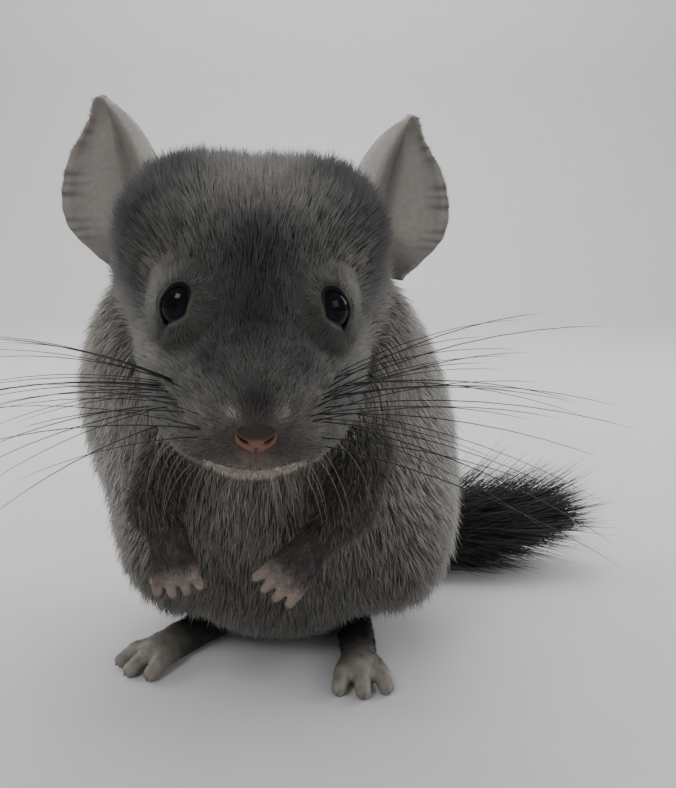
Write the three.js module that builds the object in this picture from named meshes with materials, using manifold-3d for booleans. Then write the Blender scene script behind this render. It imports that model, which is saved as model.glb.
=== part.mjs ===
// A life-size chinchilla that sits up on its hind feet, with its head lowered towards the viewer,
// both forepaws held before the belly and the brushy tail laid out to one side on the ground.
// Millimetres, +Z up. The animal faces -Y, and its own left is +X.
// The origin is on the flat under the rump, at ground level.
// The solids give the outer surface of the plush coat, the tail's long locks and the whiskers.
import * as THREE from "three";
import { mergeVertices } from "three/addons/utils/BufferGeometryUtils.js";
import Module from "manifold-3d";

const wasm = await Module();
wasm.setup();

// Driving dimensions.
const GAP = 0.3;
const BELLY_CENTRE = [4, 4, 61];
const BELLY_HALF = [56, 52, 47];
const BACK_CENTRE = [-5, -2, 89];
const BACK_HALF = [55, 44, 52];
const RUMP_CENTRE = [2, 12, 33];
const RUMP_HALF = [42, 44, 36];
const HEAD_CENTRE = [-0.8, -58, 120];
const HEAD_PITCH = 37;
const HEAD_YAW = 7;
const HEAD_ROLL = 1.8;
const EYE_AT = [16.8, 15.2, 9.2];
const EYE_RADIUS = 6.2;
const EAR_THICKNESS = 1.5;
const EARS = {
  left: { base: [37.6, -19, -8.6], lean: 0.17, height: 46, outer: 17.5, inner: 15.3 },
  right: { base: [-32.6, -19, -7.6], lean: 0.15, height: 46.5, outer: 20.5, inner: 15.3 },
};
const TAIL_CORE_RADIUS = 8.5;
const SEED = 7;

// A seeded random number from 0 to 1.
let state = SEED;
function random() {
  state = (state * 1664525 + 1013904223) % 4294967296;
  return state / 4294967296;
}
const spread = (half) => (2 * random() - 1) * half;
const mix = (a, b, t) => a + (b - a) * t;
const smooth = (t) => {
  const c = Math.min(1, Math.max(0, t));
  return c * c * (3 - 2 * c);
};
const vec = (p) => new THREE.Vector3(...p);
const radians = THREE.MathUtils.degToRad;

// Fields: a field is a function of a point, below zero inside.
function ellipsoid(centre, half, turn = new THREE.Quaternion()) {
  const c = vec(centre);
  const back = turn.clone().invert();
  return (p) => {
    const q = p.clone().sub(c).applyQuaternion(back);
    const k0 = Math.hypot(q.x / half[0], q.y / half[1], q.z / half[2]);
    const k1 = Math.hypot(q.x / half[0] ** 2, q.y / half[1] ** 2, q.z / half[2] ** 2);
    return k1 < 1e-9 ? -Math.min(...half) : (k0 * (k0 - 1)) / k1;
  };
}
function blend(k, ...fields) {
  return (p) =>
    fields
      .map((f) => f(p))
      .reduce((a, b) => {
        const h = Math.max(k - Math.abs(a - b), 0) / k;
        return Math.min(a, b) - h * h * k * 0.25;
      });
}

// The direction in which a field grows fastest.
function slope(field, p) {
  const [x, y, z] = [0, 1, 2].map((i) => {
    const ahead = p.clone().setComponent(i, p.getComponent(i) + 0.5);
    const behind = p.clone().setComponent(i, p.getComponent(i) - 0.5);
    return field(ahead) - field(behind);
  });
  return vec([x, y, z]).normalize();
}

// A closed solid from rings of points, with a pole point at each end.
function loft(rings, first, last) {
  const count = rings[0].length;
  const points = [first, ...rings.flat(), last];
  const faces = [];
  const at = (i, j) => 1 + i * count + ((j + count) % count);
  for (let j = 0; j < count; j++) {
    faces.push(0, at(0, j + 1), at(0, j));
    faces.push(points.length - 1, at(rings.length - 1, j), at(rings.length - 1, j + 1));
  }
  for (let i = 0; i + 1 < rings.length; i++)
    for (let j = 0; j < count; j++) {
      faces.push(at(i, j), at(i, j + 1), at(i + 1, j + 1));
      faces.push(at(i, j), at(i + 1, j + 1), at(i + 1, j));
    }
  return solid(points, faces);
}
function solid(points, faces) {
  const geometry = new THREE.BufferGeometry();
  geometry.setAttribute(
    "position",
    new THREE.Float32BufferAttribute(points.flatMap((p) => [p.x, p.y, p.z]), 3),
  );
  geometry.setIndex(faces);
  const merged = mergeVertices(geometry, 1e-4);
  const vertProperties = merged.attributes.position.array;
  const triVerts = new Uint32Array(merged.index.array);
  const made = new wasm.Manifold(new wasm.Mesh({ numProp: 3, vertProperties, triVerts }));
  if (made.volume() >= 0) return made;
  for (let i = 0; i < triVerts.length; i += 3)
    [triVerts[i], triVerts[i + 1]] = [triVerts[i + 1], triVerts[i]];
  return new wasm.Manifold(new wasm.Mesh({ numProp: 3, vertProperties, triVerts }));
}

// How far along a direction a field reaches a level.
function reachIn(field, from, way, level = 0, reach = 95) {
  let near = 0;
  let far = reach;
  for (let i = 0; i < 26; i++) {
    const middle = (near + far) / 2;
    if (field(from.clone().addScaledVector(way, middle)) < level) near = middle;
    else far = middle;
  }
  return near;
}

// The surface where a field reaches a level, seen from a centre inside it: one point on each
// direction of a sphere grid whose pole looks along an axis.
function blob(field, centre, axis, around, along, level = 0, reach = 95) {
  const c = vec(centre);
  const turn = new THREE.Quaternion().setFromUnitVectors(
    new THREE.Vector3(0, 0, 1),
    vec(axis).normalize(),
  );
  const hit = (polar, angle) => {
    const way = new THREE.Vector3(
      Math.sin(polar) * Math.cos(angle),
      Math.sin(polar) * Math.sin(angle),
      Math.cos(polar),
    ).applyQuaternion(turn);
    return c.clone().addScaledVector(way, reachIn(field, c, way, level, reach));
  };
  const rings = [];
  for (let i = 1; i < along; i++)
    rings.push(
      Array.from({ length: around }, (_, j) =>
        hit((Math.PI * i) / along, (2 * Math.PI * j) / around),
      ),
    );
  return loft(rings, hit(0, 0), hit(Math.PI, 0));
}

// A tapering tube with round ends along a smooth curve. Each stop of the sizes is
// [half width, half thickness], and side is the direction of the width.
function limb(stops, sizes, side, around = 12, steps = 10, flat = null) {
  const curve = new THREE.CatmullRomCurve3(stops.map(vec), false, "centripetal");
  const sizeAt = (t, k) => {
    const s = t * (sizes.length - 1);
    const i = Math.min(sizes.length - 2, Math.floor(s));
    return mix(sizes[i][k], sizes[i + 1][k], smooth(s - i));
  };
  const rings = [];
  const place = (t, shrink, push) => {
    const along = curve.getTangent(t);
    const wide = vec(side).projectOnPlane(along).normalize();
    const thick = new THREE.Vector3().crossVectors(along, wide);
    const centre = curve.getPoint(t).addScaledVector(along, push);
    return Array.from({ length: around }, (_, j) => {
      const a = (2 * Math.PI * j) / around;
      const p = centre
        .clone()
        .addScaledVector(wide, sizeAt(t, 0) * shrink * Math.cos(a))
        .addScaledVector(thick, sizeAt(t, 1) * shrink * Math.sin(a));
      if (flat !== null) p.z = Math.max(p.z, flat);
      return p;
    });
  };
  const cap = (t) => Math.min(sizeAt(t, 0), sizeAt(t, 1));
  rings.push(place(0, 0.55, -0.8 * cap(0)));
  for (let i = 0; i <= steps; i++) rings.push(place(i / steps, 1, 0));
  rings.push(place(1, 0.55, 0.8 * cap(1)));
  const tip = (t, sign) => {
    const p = curve.getPoint(t).addScaledVector(curve.getTangent(t), sign * cap(t));
    if (flat !== null) p.z = Math.max(p.z, flat + 0.2);
    return p;
  };
  return loft(rings, tip(0, -1), tip(1, 1));
}

// A flat lock of hair that tapers to a point: four sides, bending from its root through a
// middle to its tip.
function lock(root, middle, tip, width, thickness, side) {
  const rings = [];
  const stops = [root, root.clone().lerp(middle, 0.5), middle, middle.clone().lerp(tip, 0.55)];
  const shares = [0.8, 1, 0.8, 0.42];
  stops.forEach((centre, i) => {
    const along = (i < 2 ? middle.clone().sub(root) : tip.clone().sub(middle)).normalize();
    const wide = side.clone().projectOnPlane(along).normalize();
    const thick = new THREE.Vector3().crossVectors(along, wide);
    rings.push(
      [
        [1, 0],
        [0, 1],
        [-1, 0],
        [0, -1],
      ].map(([a, b]) =>
        centre
          .clone()
          .addScaledVector(wide, (a * width * shares[i]) / 2)
          .addScaledVector(thick, (b * thickness * shares[i]) / 2),
      ),
    );
  });
  return loft(rings, root, tip);
}

const join = (...solids) => wasm.Manifold.union(solids.flat(2));
function largest(made) {
  return made.decompose().sort((a, b) => b.volume() - a.volume())[0];
}
// A big block that starts at a plane, to cut a solid off there.
function block(low, high) {
  const g = new THREE.BoxGeometry(...high.map((h, i) => h - low[i]));
  g.translate(...high.map((h, i) => (h + low[i]) / 2));
  g.deleteAttribute("normal");
  g.deleteAttribute("uv");
  const m = mergeVertices(g, 1e-4);
  const points = [];
  for (let i = 0; i < m.attributes.position.count; i++)
    points.push(new THREE.Vector3().fromBufferAttribute(m.attributes.position, i));
  return solid(points, Array.from(m.index.array));
}
const FAR = 400;
const ground = block([-FAR, -FAR, -FAR], [FAR, FAR, 0]);

// The head's own frame: x to its left, y to its nose, z to its crown.
const headTurn = new THREE.Quaternion().setFromEuler(
  new THREE.Euler(radians(HEAD_PITCH), radians(HEAD_ROLL), radians(HEAD_YAW), "ZYX"),
);
const inHead = ([x, y, z]) =>
  vec([x, -y, z]).applyQuaternion(headTurn).add(vec(HEAD_CENTRE));
const headWay = ([x, y, z]) => vec([x, -y, z]).applyQuaternion(headTurn);
const headBall = (at, half) => ellipsoid(inHead(at).toArray(), half, headTurn);

// Torso: the heavy belly and rump, with the chest and shoulders above.
const torsoField = blend(
  22,
  ellipsoid(BELLY_CENTRE, BELLY_HALF),
  ellipsoid(BACK_CENTRE, BACK_HALF),
  ellipsoid(RUMP_CENTRE, RUMP_HALF),
);
const torsoBall = (level) =>
  blob(torsoField, [1, 4, 64], [0, 0, 1], 32, 20, level);

// Head: cranium, full cheeks, nose bridge and the two whisker pads.
const headField = blend(
  11,
  headBall([0, -8, 3], [32, 31, 27]),
  ...[1, -1].flatMap((k) => [
    headBall([k * 22, -15, -3], [15.5, 19, 20]),
    headBall([k * 18.5, -15, 13], [14.5, 16, 14]),
    headBall([k * 15.5, 11, -9], [14, 20, 13]),
    headBall([k * 11, 30, -10], [12.5, 14, 9.5]),
  ]),
  headBall([0, 20, 1], [15.5, 25, 13]),
);
const headBlob = (level) =>
  blob(headField, inHead([0, 6, -3]).toArray(), headWay([0, 1, 0]).toArray(), 32, 24, level, 70);

const NECK_CENTRE = [-3, -34, 103];
const neckField = ellipsoid(NECK_CENTRE, [47, 31, 36]);
const neckBlob = (level) => blob(neckField, NECK_CENTRE, [0, 0, 1], 24, 14, level);

const nodes = new Map();
const colours = {};
function add(name, made, colour) {
  nodes.set(name, largest(made));
  colours[name] = colour;
}

const COAT = 0x4a4a4b;
const EAR = 0x8d8884;
const PAW = 0x8b8080;
const DARK = 0x26262a;

const torsoGrown = torsoBall(GAP);
const headGrown = headBlob(GAP);
const neckGrown = neckBlob(GAP);

// Eyes, each with a raised rim of lid round its opening.
const sides = [
  ["left", 1],
  ["right", -1],
];
function ball(centre, radius, axis, around = 16, along = 10) {
  return blob(ellipsoid(centre.toArray(), [radius, radius, radius]), centre.toArray(),
    axis.toArray(), around, along, 0, radius * 2);
}
const LID_TUBE = 1.0;
function lidRing(sign) {
  const out = slope(headField, inHead([sign * EYE_AT[0], EYE_AT[1], EYE_AT[2]]));
  const up = headWay([0, -0.15, 1]).projectOnPlane(out).normalize();
  const across = new THREE.Vector3().crossVectors(up, out);
  const centre = inHead([sign * EYE_AT[0], EYE_AT[1], EYE_AT[2]]);
  const turns = 18;
  const sides6 = 5;
  const points = [];
  const faces = [];
  for (let i = 0; i < turns; i++) {
    const a = (2 * Math.PI * i) / turns;
    const way = across
      .clone()
      .multiplyScalar(Math.cos(a) * 0.92)
      .addScaledVector(up, Math.sin(a))
      .normalize();
    const open = radians(62);
    const middle = centre
      .clone()
      .addScaledVector(out, Math.cos(open) * (EYE_RADIUS + 0.5))
      .addScaledVector(way, Math.sin(open) * (EYE_RADIUS + 0.5));
    for (let j = 0; j < sides6; j++) {
      const b = (2 * Math.PI * j) / sides6;
      points.push(
        middle
          .clone()
          .addScaledVector(way, LID_TUBE * Math.cos(b))
          .addScaledVector(out, LID_TUBE * Math.sin(b)),
      );
    }
  }
  for (let i = 0; i < turns; i++)
    for (let j = 0; j < sides6; j++) {
      const a = i * sides6 + j;
      const b = i * sides6 + ((j + 1) % sides6);
      const c = ((i + 1) % turns) * sides6 + ((j + 1) % sides6);
      const d = ((i + 1) % turns) * sides6 + j;
      faces.push(a, b, c, a, c, d);
    }
  return solid(points, faces);
}

let head = headBlob(0);
for (const [side, sign] of sides) {
  const at = inHead([sign * EYE_AT[0], EYE_AT[1], EYE_AT[2]]);
  const out = headWay([sign, 0.4, 0.1]);
  const eye = ball(at, EYE_RADIUS, out);
  const socket = ball(at, EYE_RADIUS + GAP, out);
  head = join(head, lidRing(sign)).subtract(socket);
  add("eye_" + side, eye, DARK);
}

// Nose pad with two nostrils, and the lower jaw below the line of the mouth.
const noseAt = inHead([0, 43.6, -5]);
const nosePad = (grow) =>
  blob(
    ellipsoid(noseAt.toArray(), [5.4 + grow, 3.6 + grow, 3.6 + grow], headTurn),
    noseAt.toArray(), headWay([0, 1, 0]).toArray(), 16, 9, 0, 12);
let nose = nosePad(0);
for (const [, sign] of sides)
  nose = nose.subtract(ball(inHead([sign * 3.1, 46.9, -6.1]), 1.25, headWay([0, 1, 0]), 10, 6));
head = head.subtract(nosePad(GAP));
add("nose", nose, PAW);

const jawAt = inHead([0, 25, -19.5]);
const jawShape = (grow) =>
  blob(
    ellipsoid(jawAt.toArray(), [10.5 + grow, 15 + grow, 7.5 + grow], headTurn),
    jawAt.toArray(), headWay([0, 1, 0]).toArray(), 20, 10, 0, 30);
head = head.subtract(jawShape(GAP));
add("lower_jaw", jawShape(0), COAT);
const wholeHead = join(headGrown, jawShape(GAP));
// The neck fills the space between the head and the shoulders.
add("neck", neckBlob(0).subtract(torsoGrown).subtract(wholeHead), COAT);

// Ears: a leaf-shaped cup, its deepest fold nearer the crown, with a blunt point on top.
// Shares of the half width at stations from the root to the tip, on the outer and inner edge.
const EAR_OUTER = [0.35, 0.67, 0.95, 1, 0.89, 0.66, 0.27, 0.05];
const EAR_INNER = [0.4, 0.7, 0.92, 1, 0.95, 0.8, 0.52, 0.05];
function share(table, v) {
  const s = Math.min(0.9999, Math.max(0, v)) * (table.length - 1);
  const i = Math.floor(s);
  const [a, b, c, d] = [i - 1, i, i + 1, i + 2].map(
    (k) => table[Math.min(table.length - 1, Math.max(0, k))],
  );
  const t = s - i;
  return (
    0.5 * (2 * b + (c - a) * t + (2 * a - 5 * b + 4 * c - d) * t * t +
      (3 * b - a - 3 * c + d) * t * t * t)
  );
}
function ear(sign, size) {
  const base = inHead(size.base);
  const tall = vec([sign * size.lean, -0.05, 0.98]).normalize();
  const front = vec([sign * 0.5, -1, 0.1]).projectOnPlane(tall).normalize();
  const wide = new THREE.Vector3().crossVectors(tall, front);
  if (wide.x * sign < 0) wide.negate();
  const rows = 15;
  const columns = 9;
  const sheet = (u, v) => {
    // u runs from the inner edge, -1, to the outer edge, 1, and v from the root to the tip.
    const across = u * (u > 0 ? size.outer * share(EAR_OUTER, v) : size.inner * share(EAR_INNER, v));
    const cup = 9.5 * Math.sin(Math.PI * Math.min(1, 0.15 + v * 0.85)) ** 0.8;
    const fold = cup * (1 - Math.min(1, Math.abs(u + 0.15)) ** 1.4);
    return base
      .clone()
      .addScaledVector(tall, v * size.height)
      .addScaledVector(wide, across)
      .addScaledVector(front, -fold);
  };
  const rings = [];
  for (let i = 0; i < rows; i++) {
    const v = (i / (rows - 1)) * 0.97;
    const line = Array.from({ length: columns }, (_, j) => (2 * j) / (columns - 1) - 1);
    const face = (half) =>
      line.map((u) => {
        const p = sheet(u, v);
        const du = sheet(Math.min(1, u + 0.02), v).sub(sheet(Math.max(-1, u - 0.02), v));
        const dv = sheet(u, Math.min(1, v + 0.02)).sub(sheet(u, Math.max(0, v - 0.02)));
        const n = new THREE.Vector3().crossVectors(du, dv).normalize();
        return p.addScaledVector(n, half);
      });
    const thin = (EAR_THICKNESS / 2) * mix(1.5, 0.8, v);
    rings.push([...face(thin), ...face(-thin).reverse()]);
  }
  const tip = sheet(0, 1);
  const root = sheet(0, 0).addScaledVector(tall, -2);
  return loft(rings, root, tip);
}
for (const [side, sign] of sides)
  add("ear_" + side,
    ear(sign, EARS[side]).subtract(headGrown).subtract(neckGrown).subtract(torsoGrown), EAR);

// Hind legs: the haunch swells at the body's side, and the long foot lies flat.
const haunchBall = (sign, grow) => {
  const at = [sign * 34 + 4, -2, 43];
  const half = [22, 38, 31];
  return blob(ellipsoid(at, half.map((r) => r + grow)), at, [0, 0, 1], 22, 14, 0, 60);
};
const feet = {
  left: { heel: [26, 6], toes: [28, -37] },
  right: { heel: [-12, 6], toes: [-37.5, -26] },
};
const TOE_LENGTH = 13;
function hindFoot(spot, grow) {
  const grown = (sizes) => sizes.map(([a, b]) => [a + grow, b + grow]);
  const level = grow > 0 ? null : 0;
  const heel = vec([...spot.heel, 5]);
  const ball = vec([...spot.toes, 3.9]);
  const along = ball.clone().sub(heel).setZ(0).normalize();
  const across = new THREE.Vector3().crossVectors(along, new THREE.Vector3(0, 0, 1));
  const sole = limb(
    [heel.toArray(), heel.clone().lerp(ball, 0.5).setZ(5.3).toArray(), ball.toArray()],
    grown([[5, 6], [5.2, 6], [6.8, 5.2]]), across.toArray(), 12, 6, level);
  const toes = [-1, 0, 1].map((k) => {
    const way = along.clone().applyAxisAngle(new THREE.Vector3(0, 0, 1), radians(-k * 15));
    const start = ball.clone().addScaledVector(across, k * 4.2).addScaledVector(along, -3);
    const long = TOE_LENGTH - Math.abs(k) * 2;
    const end = start.clone().addScaledVector(way, long);
    return limb(
      [start.toArray(), start.clone().lerp(end, 0.55).setZ(4.3).toArray(), end.setZ(2.1).toArray()],
      grown([[2.6, 3], [2.5, 2.9], [2.3, 2.4]]), across.toArray(), 8, 4, level);
  });
  return join(sole, ...toes);
}
const feetGrown = join(sides.map(([side]) => hindFoot(feet[side], GAP)));
for (const [side, sign] of sides) {
  const haunch = haunchBall(sign, 0).subtract(torsoGrown).subtract(ground).subtract(feetGrown);
  add("haunch_" + side, haunch, COAT);
}
for (const [side] of sides) add("hind_foot_" + side, hindFoot(feet[side], 0), PAW);

// Forelegs: a short upper arm out of the chest fur, bent down to a small four-fingered paw.
const arms = {
  right: { shoulder: [-25, -44, 76], elbow: [-29, -57, 63], wrist: [-25, -61, 56], paw: [-23.5, -62, 47] },
  left: { shoulder: [27, -44, 76], elbow: [24, -57, 62], wrist: [15, -61, 54], paw: [7.5, -62, 45] },
};
function forepaw(arm) {
  const wrist = vec(arm.wrist);
  const end = vec(arm.paw);
  const along = end.clone().sub(wrist).normalize();
  const across = new THREE.Vector3(1, 0, 0).projectOnPlane(along).normalize();
  const palm = limb([arm.wrist, arm.paw], [[4.6, 4], [6.2, 3.6]], across.toArray(), 12, 3);
  const fingers = [-1.5, -0.5, 0.5, 1.5].map((k) => {
    const start = end.clone().addScaledVector(across, k * 3.1);
    const way = along.clone().addScaledVector(across, k * 0.12).add(vec([0, 0.25, 0])).normalize();
    const finish = start.clone().addScaledVector(way, 7 - Math.abs(k));
    return limb([start.toArray(), finish.toArray()], [[1.75, 1.9], [1.5, 1.6]], across.toArray(), 8, 2);
  });
  return join(palm, ...fingers);
}
function sleeve(arm, grow) {
  const sizes = [[10, 10], [8, 8], [5.4, 5]].map(([a, b]) => [a + grow, b + grow]);
  return limb([arm.shoulder, arm.elbow, arm.wrist], sizes, [1, 0, 0], 12, 7);
}
for (const [side] of sides) {
  const arm = arms[side];
  add("forepaw_" + side, forepaw(arm).subtract(torsoGrown).subtract(sleeve(arm, GAP)), PAW);
  add("foreleg_" + side,
    sleeve(arm, 0).subtract(torsoGrown).subtract(wholeHead).subtract(neckGrown), COAT);
}
add("torso",
  torsoBall(0).subtract(ground).subtract(wholeHead).subtract(feetGrown), COAT);

// Tail: a slim core on the ground behind the left haunch, with long locks that splay to its end.
const TAIL_STOPS = [[8, 44, 22], [36, 60, 15], [68, 63, 15], [98, 62, 20]];
const TAIL_SIZES = [[11, 11], [TAIL_CORE_RADIUS, TAIL_CORE_RADIUS], [8, 8], [4, 4]];
const tailCurve = new THREE.CatmullRomCurve3(TAIL_STOPS.map(vec), false, "centripetal");
const LOCK_ROWS = 8;
const LOCKS_ROUND = 6;
const LOCK_WIDTH = 8;
const LOCK_THICKNESS = 2.6;
function tailLocks() {
  const made = [];
  for (let row = 0; row < LOCK_ROWS; row++) {
    const t = mix(0.2, 0.98, row / (LOCK_ROWS - 1));
    for (let k = 0; k < LOCKS_ROUND; k++) {
      const turn = radians((360 * (k + (row % 2) * 0.5)) / LOCKS_ROUND) + spread(0.12);
      const along = tailCurve.getTangent(t).normalize();
      const up = new THREE.Vector3(0, 0, 1).projectOnPlane(along).normalize();
      const across = new THREE.Vector3().crossVectors(along, up).normalize();
      const out = across.clone().multiplyScalar(Math.cos(turn)).addScaledVector(up, Math.sin(turn));
      const centre = tailCurve.getPoint(t);
      const lift = 1 + 0.35 * Math.max(0, Math.sin(turn));
      const long = mix(26, 33, t) + spread(3);
      const splay = (mix(0.9, 0.5, t) + spread(0.1)) * lift;
      const root = centre.clone().addScaledVector(out, 2.2);
      const middle = centre
        .clone()
        .addScaledVector(out, 5 + long * splay * 0.45)
        .addScaledVector(along, long * 0.5);
      const tip = middle
        .clone()
        .addScaledVector(out, long * splay * 0.26)
        .addScaledVector(along, long * 0.52);
      root.z = Math.max(root.z, 3);
      middle.z = Math.max(middle.z, 0.9);
      tip.z = Math.max(tip.z, 1.4);
      const side = new THREE.Vector3().crossVectors(along, out);
      made.push(lock(root, middle, tip, LOCK_WIDTH, LOCK_THICKNESS, side));
    }
  }
  return made;
}
const tailCore = limb(TAIL_STOPS, TAIL_SIZES, [0, 0, 1], 12, 14);
const TAIL_SPLIT = 44;
const nearSide = block([-FAR, -FAR, -FAR], [TAIL_SPLIT, FAR, FAR]);
const farSide = block([TAIL_SPLIT + GAP, -FAR, -FAR], [FAR, FAR, FAR]);
const haunchesGrown = join(sides.map(([, sign]) => haunchBall(sign, GAP)));
const clearOfBody = (made) => made.subtract(torsoGrown).subtract(haunchesGrown).subtract(ground);
add("tail_root", clearOfBody(tailCore.intersect(nearSide)), COAT);
add("tail_brush", clearOfBody(join(tailCore, tailLocks()).intersect(farSide)), DARK);

// Whiskers: a fan of tapering hairs on a pad at each side of the muzzle.
const WHISKER_RADIUS = 0.32;
const WHISKERS = 6;
function whisker(root, way, long, droop) {
  const stops = Array.from({ length: 5 }, (_, i) => {
    const s = i / 4;
    return root
      .clone()
      .addScaledVector(way, s * long)
      .add(new THREE.Vector3(0, s * s * long * 0.14, -s * s * long * droop))
      .toArray();
  });
  const sizes = [1, 0.95, 0.85, 0.6, 0.3].map((k) => [WHISKER_RADIUS * k, WHISKER_RADIUS * k]);
  return limb(stops, sizes, [0, 1, 0.2], 4, 6);
}
const wholeNeck = join(neckGrown, torsoGrown);
for (const [side, sign] of sides) {
  const inner = inHead([sign * 9, 24, -8]);
  const padWay = headWay([sign * 0.78, 0.62, 0]);
  const padAt = inner.clone().addScaledVector(padWay, reachIn(headField, inner, padWay) - 3.7);
  const pad = (grow) =>
    blob(ellipsoid(padAt.toArray(), [4.6, 6, 5].map((r) => r + grow), headTurn),
      padAt.toArray(), headWay([1, 0, 0]).toArray(), 14, 8, 0, 12);
  const hairs = Array.from({ length: WHISKERS }, (_, k) => {
    const lift = mix(0.62, -0.3, k / (WHISKERS - 1));
    const root = padAt.clone().add(headWay([0, 2.6 * Math.cos(k * 2.4), 2.5 - k]));
    const way = vec([sign, -0.02 + 0.1 * Math.sin(k * 1.9), lift]).normalize();
    const long = (sign > 0 ? 76 : 66) - 2.6 * Math.abs(k - 2) + spread(3);
    return whisker(root, way, long, 0.16 + 0.05 * k * 0.5);
  });
  head = head.subtract(pad(GAP));
  const outside = join(hairs).subtract(headGrown.subtract(pad(0)));
  add("whiskers_" + side, join(pad(0), outside).subtract(wholeNeck), DARK);
}
add("head", head, COAT);

const group = new THREE.Group();
for (const [name, made] of nodes) {
  const m = made.getMesh();
  const g = new THREE.BufferGeometry();
  g.setAttribute("position", new THREE.BufferAttribute(m.vertProperties, 3));
  g.setIndex(new THREE.BufferAttribute(m.triVerts, 1));
  g.computeVertexNormals();
  const mesh = new THREE.Mesh(
    g,
    new THREE.MeshStandardMaterial({ color: colours[name], roughness: 0.9, metalness: 0 }),
  );
  mesh.name = name;
  group.add(mesh);
}
export default group;
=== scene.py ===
"""A chinchilla in its coat, dressed over its fixed solids.

Lengths are in millimetres until a mesh is made, which turns them into metres. The animal faces
-Y, its own left is +X and the ground is z = 0.
"""
import logging
import math
from dataclasses import dataclass, field
from enum import Enum
from typing import Callable

import bpy
import numpy as np
from mathutils import Matrix


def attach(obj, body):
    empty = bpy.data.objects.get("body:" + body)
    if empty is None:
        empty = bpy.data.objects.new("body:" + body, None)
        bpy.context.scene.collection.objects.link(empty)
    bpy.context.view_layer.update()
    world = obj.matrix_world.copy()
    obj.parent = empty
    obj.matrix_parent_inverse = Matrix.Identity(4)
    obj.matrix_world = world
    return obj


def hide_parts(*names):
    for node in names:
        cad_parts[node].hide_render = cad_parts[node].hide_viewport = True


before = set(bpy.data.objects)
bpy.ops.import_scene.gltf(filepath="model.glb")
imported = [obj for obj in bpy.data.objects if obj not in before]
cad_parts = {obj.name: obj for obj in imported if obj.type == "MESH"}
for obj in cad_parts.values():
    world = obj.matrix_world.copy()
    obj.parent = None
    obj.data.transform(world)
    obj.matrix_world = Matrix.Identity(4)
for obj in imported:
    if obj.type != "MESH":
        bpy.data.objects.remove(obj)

Array = np.ndarray
Field = Callable[[Array], Array]
MILLIMETRE = 0.001
BODY = "root"
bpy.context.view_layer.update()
log = logging.getLogger("chinchilla")
UP = np.array([0.0, 0.0, 1.0])
SKIN_FLOOR = 0.4  # Skin and hair end this high over the ground.
HAIR_FLOOR = 0.35
MAP_EDGE = 0.003  # Places on a map keep this far from its edge, and one tuft is this wide there.


class Side(Enum):
    """One side of the animal, with the sign of x on that side."""

    LEFT = 1
    RIGHT = -1

    @property
    def word(self) -> str:
        """The side as it stands in the names of the nodes."""
        return self.name.lower()


# Small helpers on arrays.


def unit(v: Array) -> Array:
    """Vectors scaled to length one."""
    return v / np.maximum(np.linalg.norm(v, axis=-1, keepdims=True), 1e-9)


def smooth(x: Array, low: float, high: float) -> Array:
    """A soft step: 0 below low, 1 above high, three t squared less two t cubed between."""
    t = np.clip((x - low) / (high - low), 0.0, 1.0)
    return t * t * (3.0 - 2.0 * t)


def mix(a: Array, b: Array, t: Array) -> Array:
    """The straight blend from a to b at share t."""
    return a + (b - a) * t


def tint(code: str) -> Array:
    """A colour written as six hex digits, as linear red, green and blue."""
    c = np.array([int(code[i:i + 2], 16) / 255.0 for i in (0, 2, 4)])
    return np.where(c < 0.04045, c / 12.92, ((c + 0.055) / 1.055) ** 2.4)


def flat_to(v: Array, normal: Array) -> Array:
    """The part of each vector that lies across the normal, at length one."""
    return unit(v - normal * np.sum(v * normal, axis=-1, keepdims=True))


def keep_above(p: Array, height: Array | float) -> None:
    """Raises, in place, the points that lie lower than a height."""
    p[..., 2] = np.maximum(p[..., 2], height)


def evenly(p: Array) -> Array:
    """One at every point: the weight of fur that is as dense everywhere."""
    return np.ones(len(p))


def ripple(p: Array, size: float, seed: int) -> Array:
    """A soft random pattern from -1 to 1: five sines along random directions, averaged.

    Args:
        p: points, one row each.
        size: about the width of one bump.
        seed: which pattern.
    Returns:
        One value for each point.
    """
    draw = np.random.default_rng(seed)
    ways = unit(draw.normal(size=(5, 3))) * (2.0 * math.pi / size) * draw.uniform(0.6, 1.2, (5, 1))
    return np.sin(p @ ways.T + draw.uniform(0.0, 6.28, 5)).mean(axis=1) * 1.6


# Forms: each is a field, a function of points that is below zero inside.


@dataclass(frozen=True)
class Ball:
    """An ellipsoid: with k0 the length of p over the half sizes and k1 of p over their squares,
    the value is k0 (k0 - 1) / k1, which is about the distance to the surface."""

    centre: Array | list
    half: Array | list
    turn: Array = field(default_factory=lambda: np.eye(3))

    def __call__(self, p: Array) -> Array:
        """The field's value at each point."""
        q = (p - np.asarray(self.centre, float)) @ self.turn
        half = np.asarray(self.half, float)
        k0 = np.linalg.norm(q / half, axis=-1)
        k1 = np.linalg.norm(q / half**2, axis=-1)
        return k0 * (k0 - 1.0) / np.maximum(k1, 1e-9)


@dataclass(frozen=True)
class Limb:
    """A chain of round bars: the distance to the nearest point of each line less a radius that
    runs straight from stop to stop."""

    stops: Array
    radii: Array

    def __call__(self, p: Array) -> Array:
        """The field's value at each point."""
        best = np.full(len(p), 1e9)
        stops = np.asarray(self.stops, float)
        for a, b, ra, rb in zip(stops[:-1], stops[1:], self.radii[:-1], self.radii[1:]):
            t = np.clip((p - a) @ (b - a) / ((b - a) @ (b - a)), 0.0, 1.0)
            gap = np.linalg.norm(p - a - t[:, None] * (b - a), axis=1) - (ra + (rb - ra) * t)
            best = np.minimum(best, gap)
        return best


@dataclass(frozen=True)
class Blend:
    """Fields run together: the least of two less h squared k / 4, where h is how far the two
    are closer than k, over k."""

    k: float
    parts: tuple

    def __call__(self, p: Array) -> Array:
        """The field's value at each point."""
        out = self.parts[0](p)
        for part in self.parts[1:]:
            b = part(p)
            h = np.maximum(self.k - np.abs(out - b), 0.0) / self.k
            out = np.minimum(out, b) - h * h * self.k * 0.25
        return out


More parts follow.
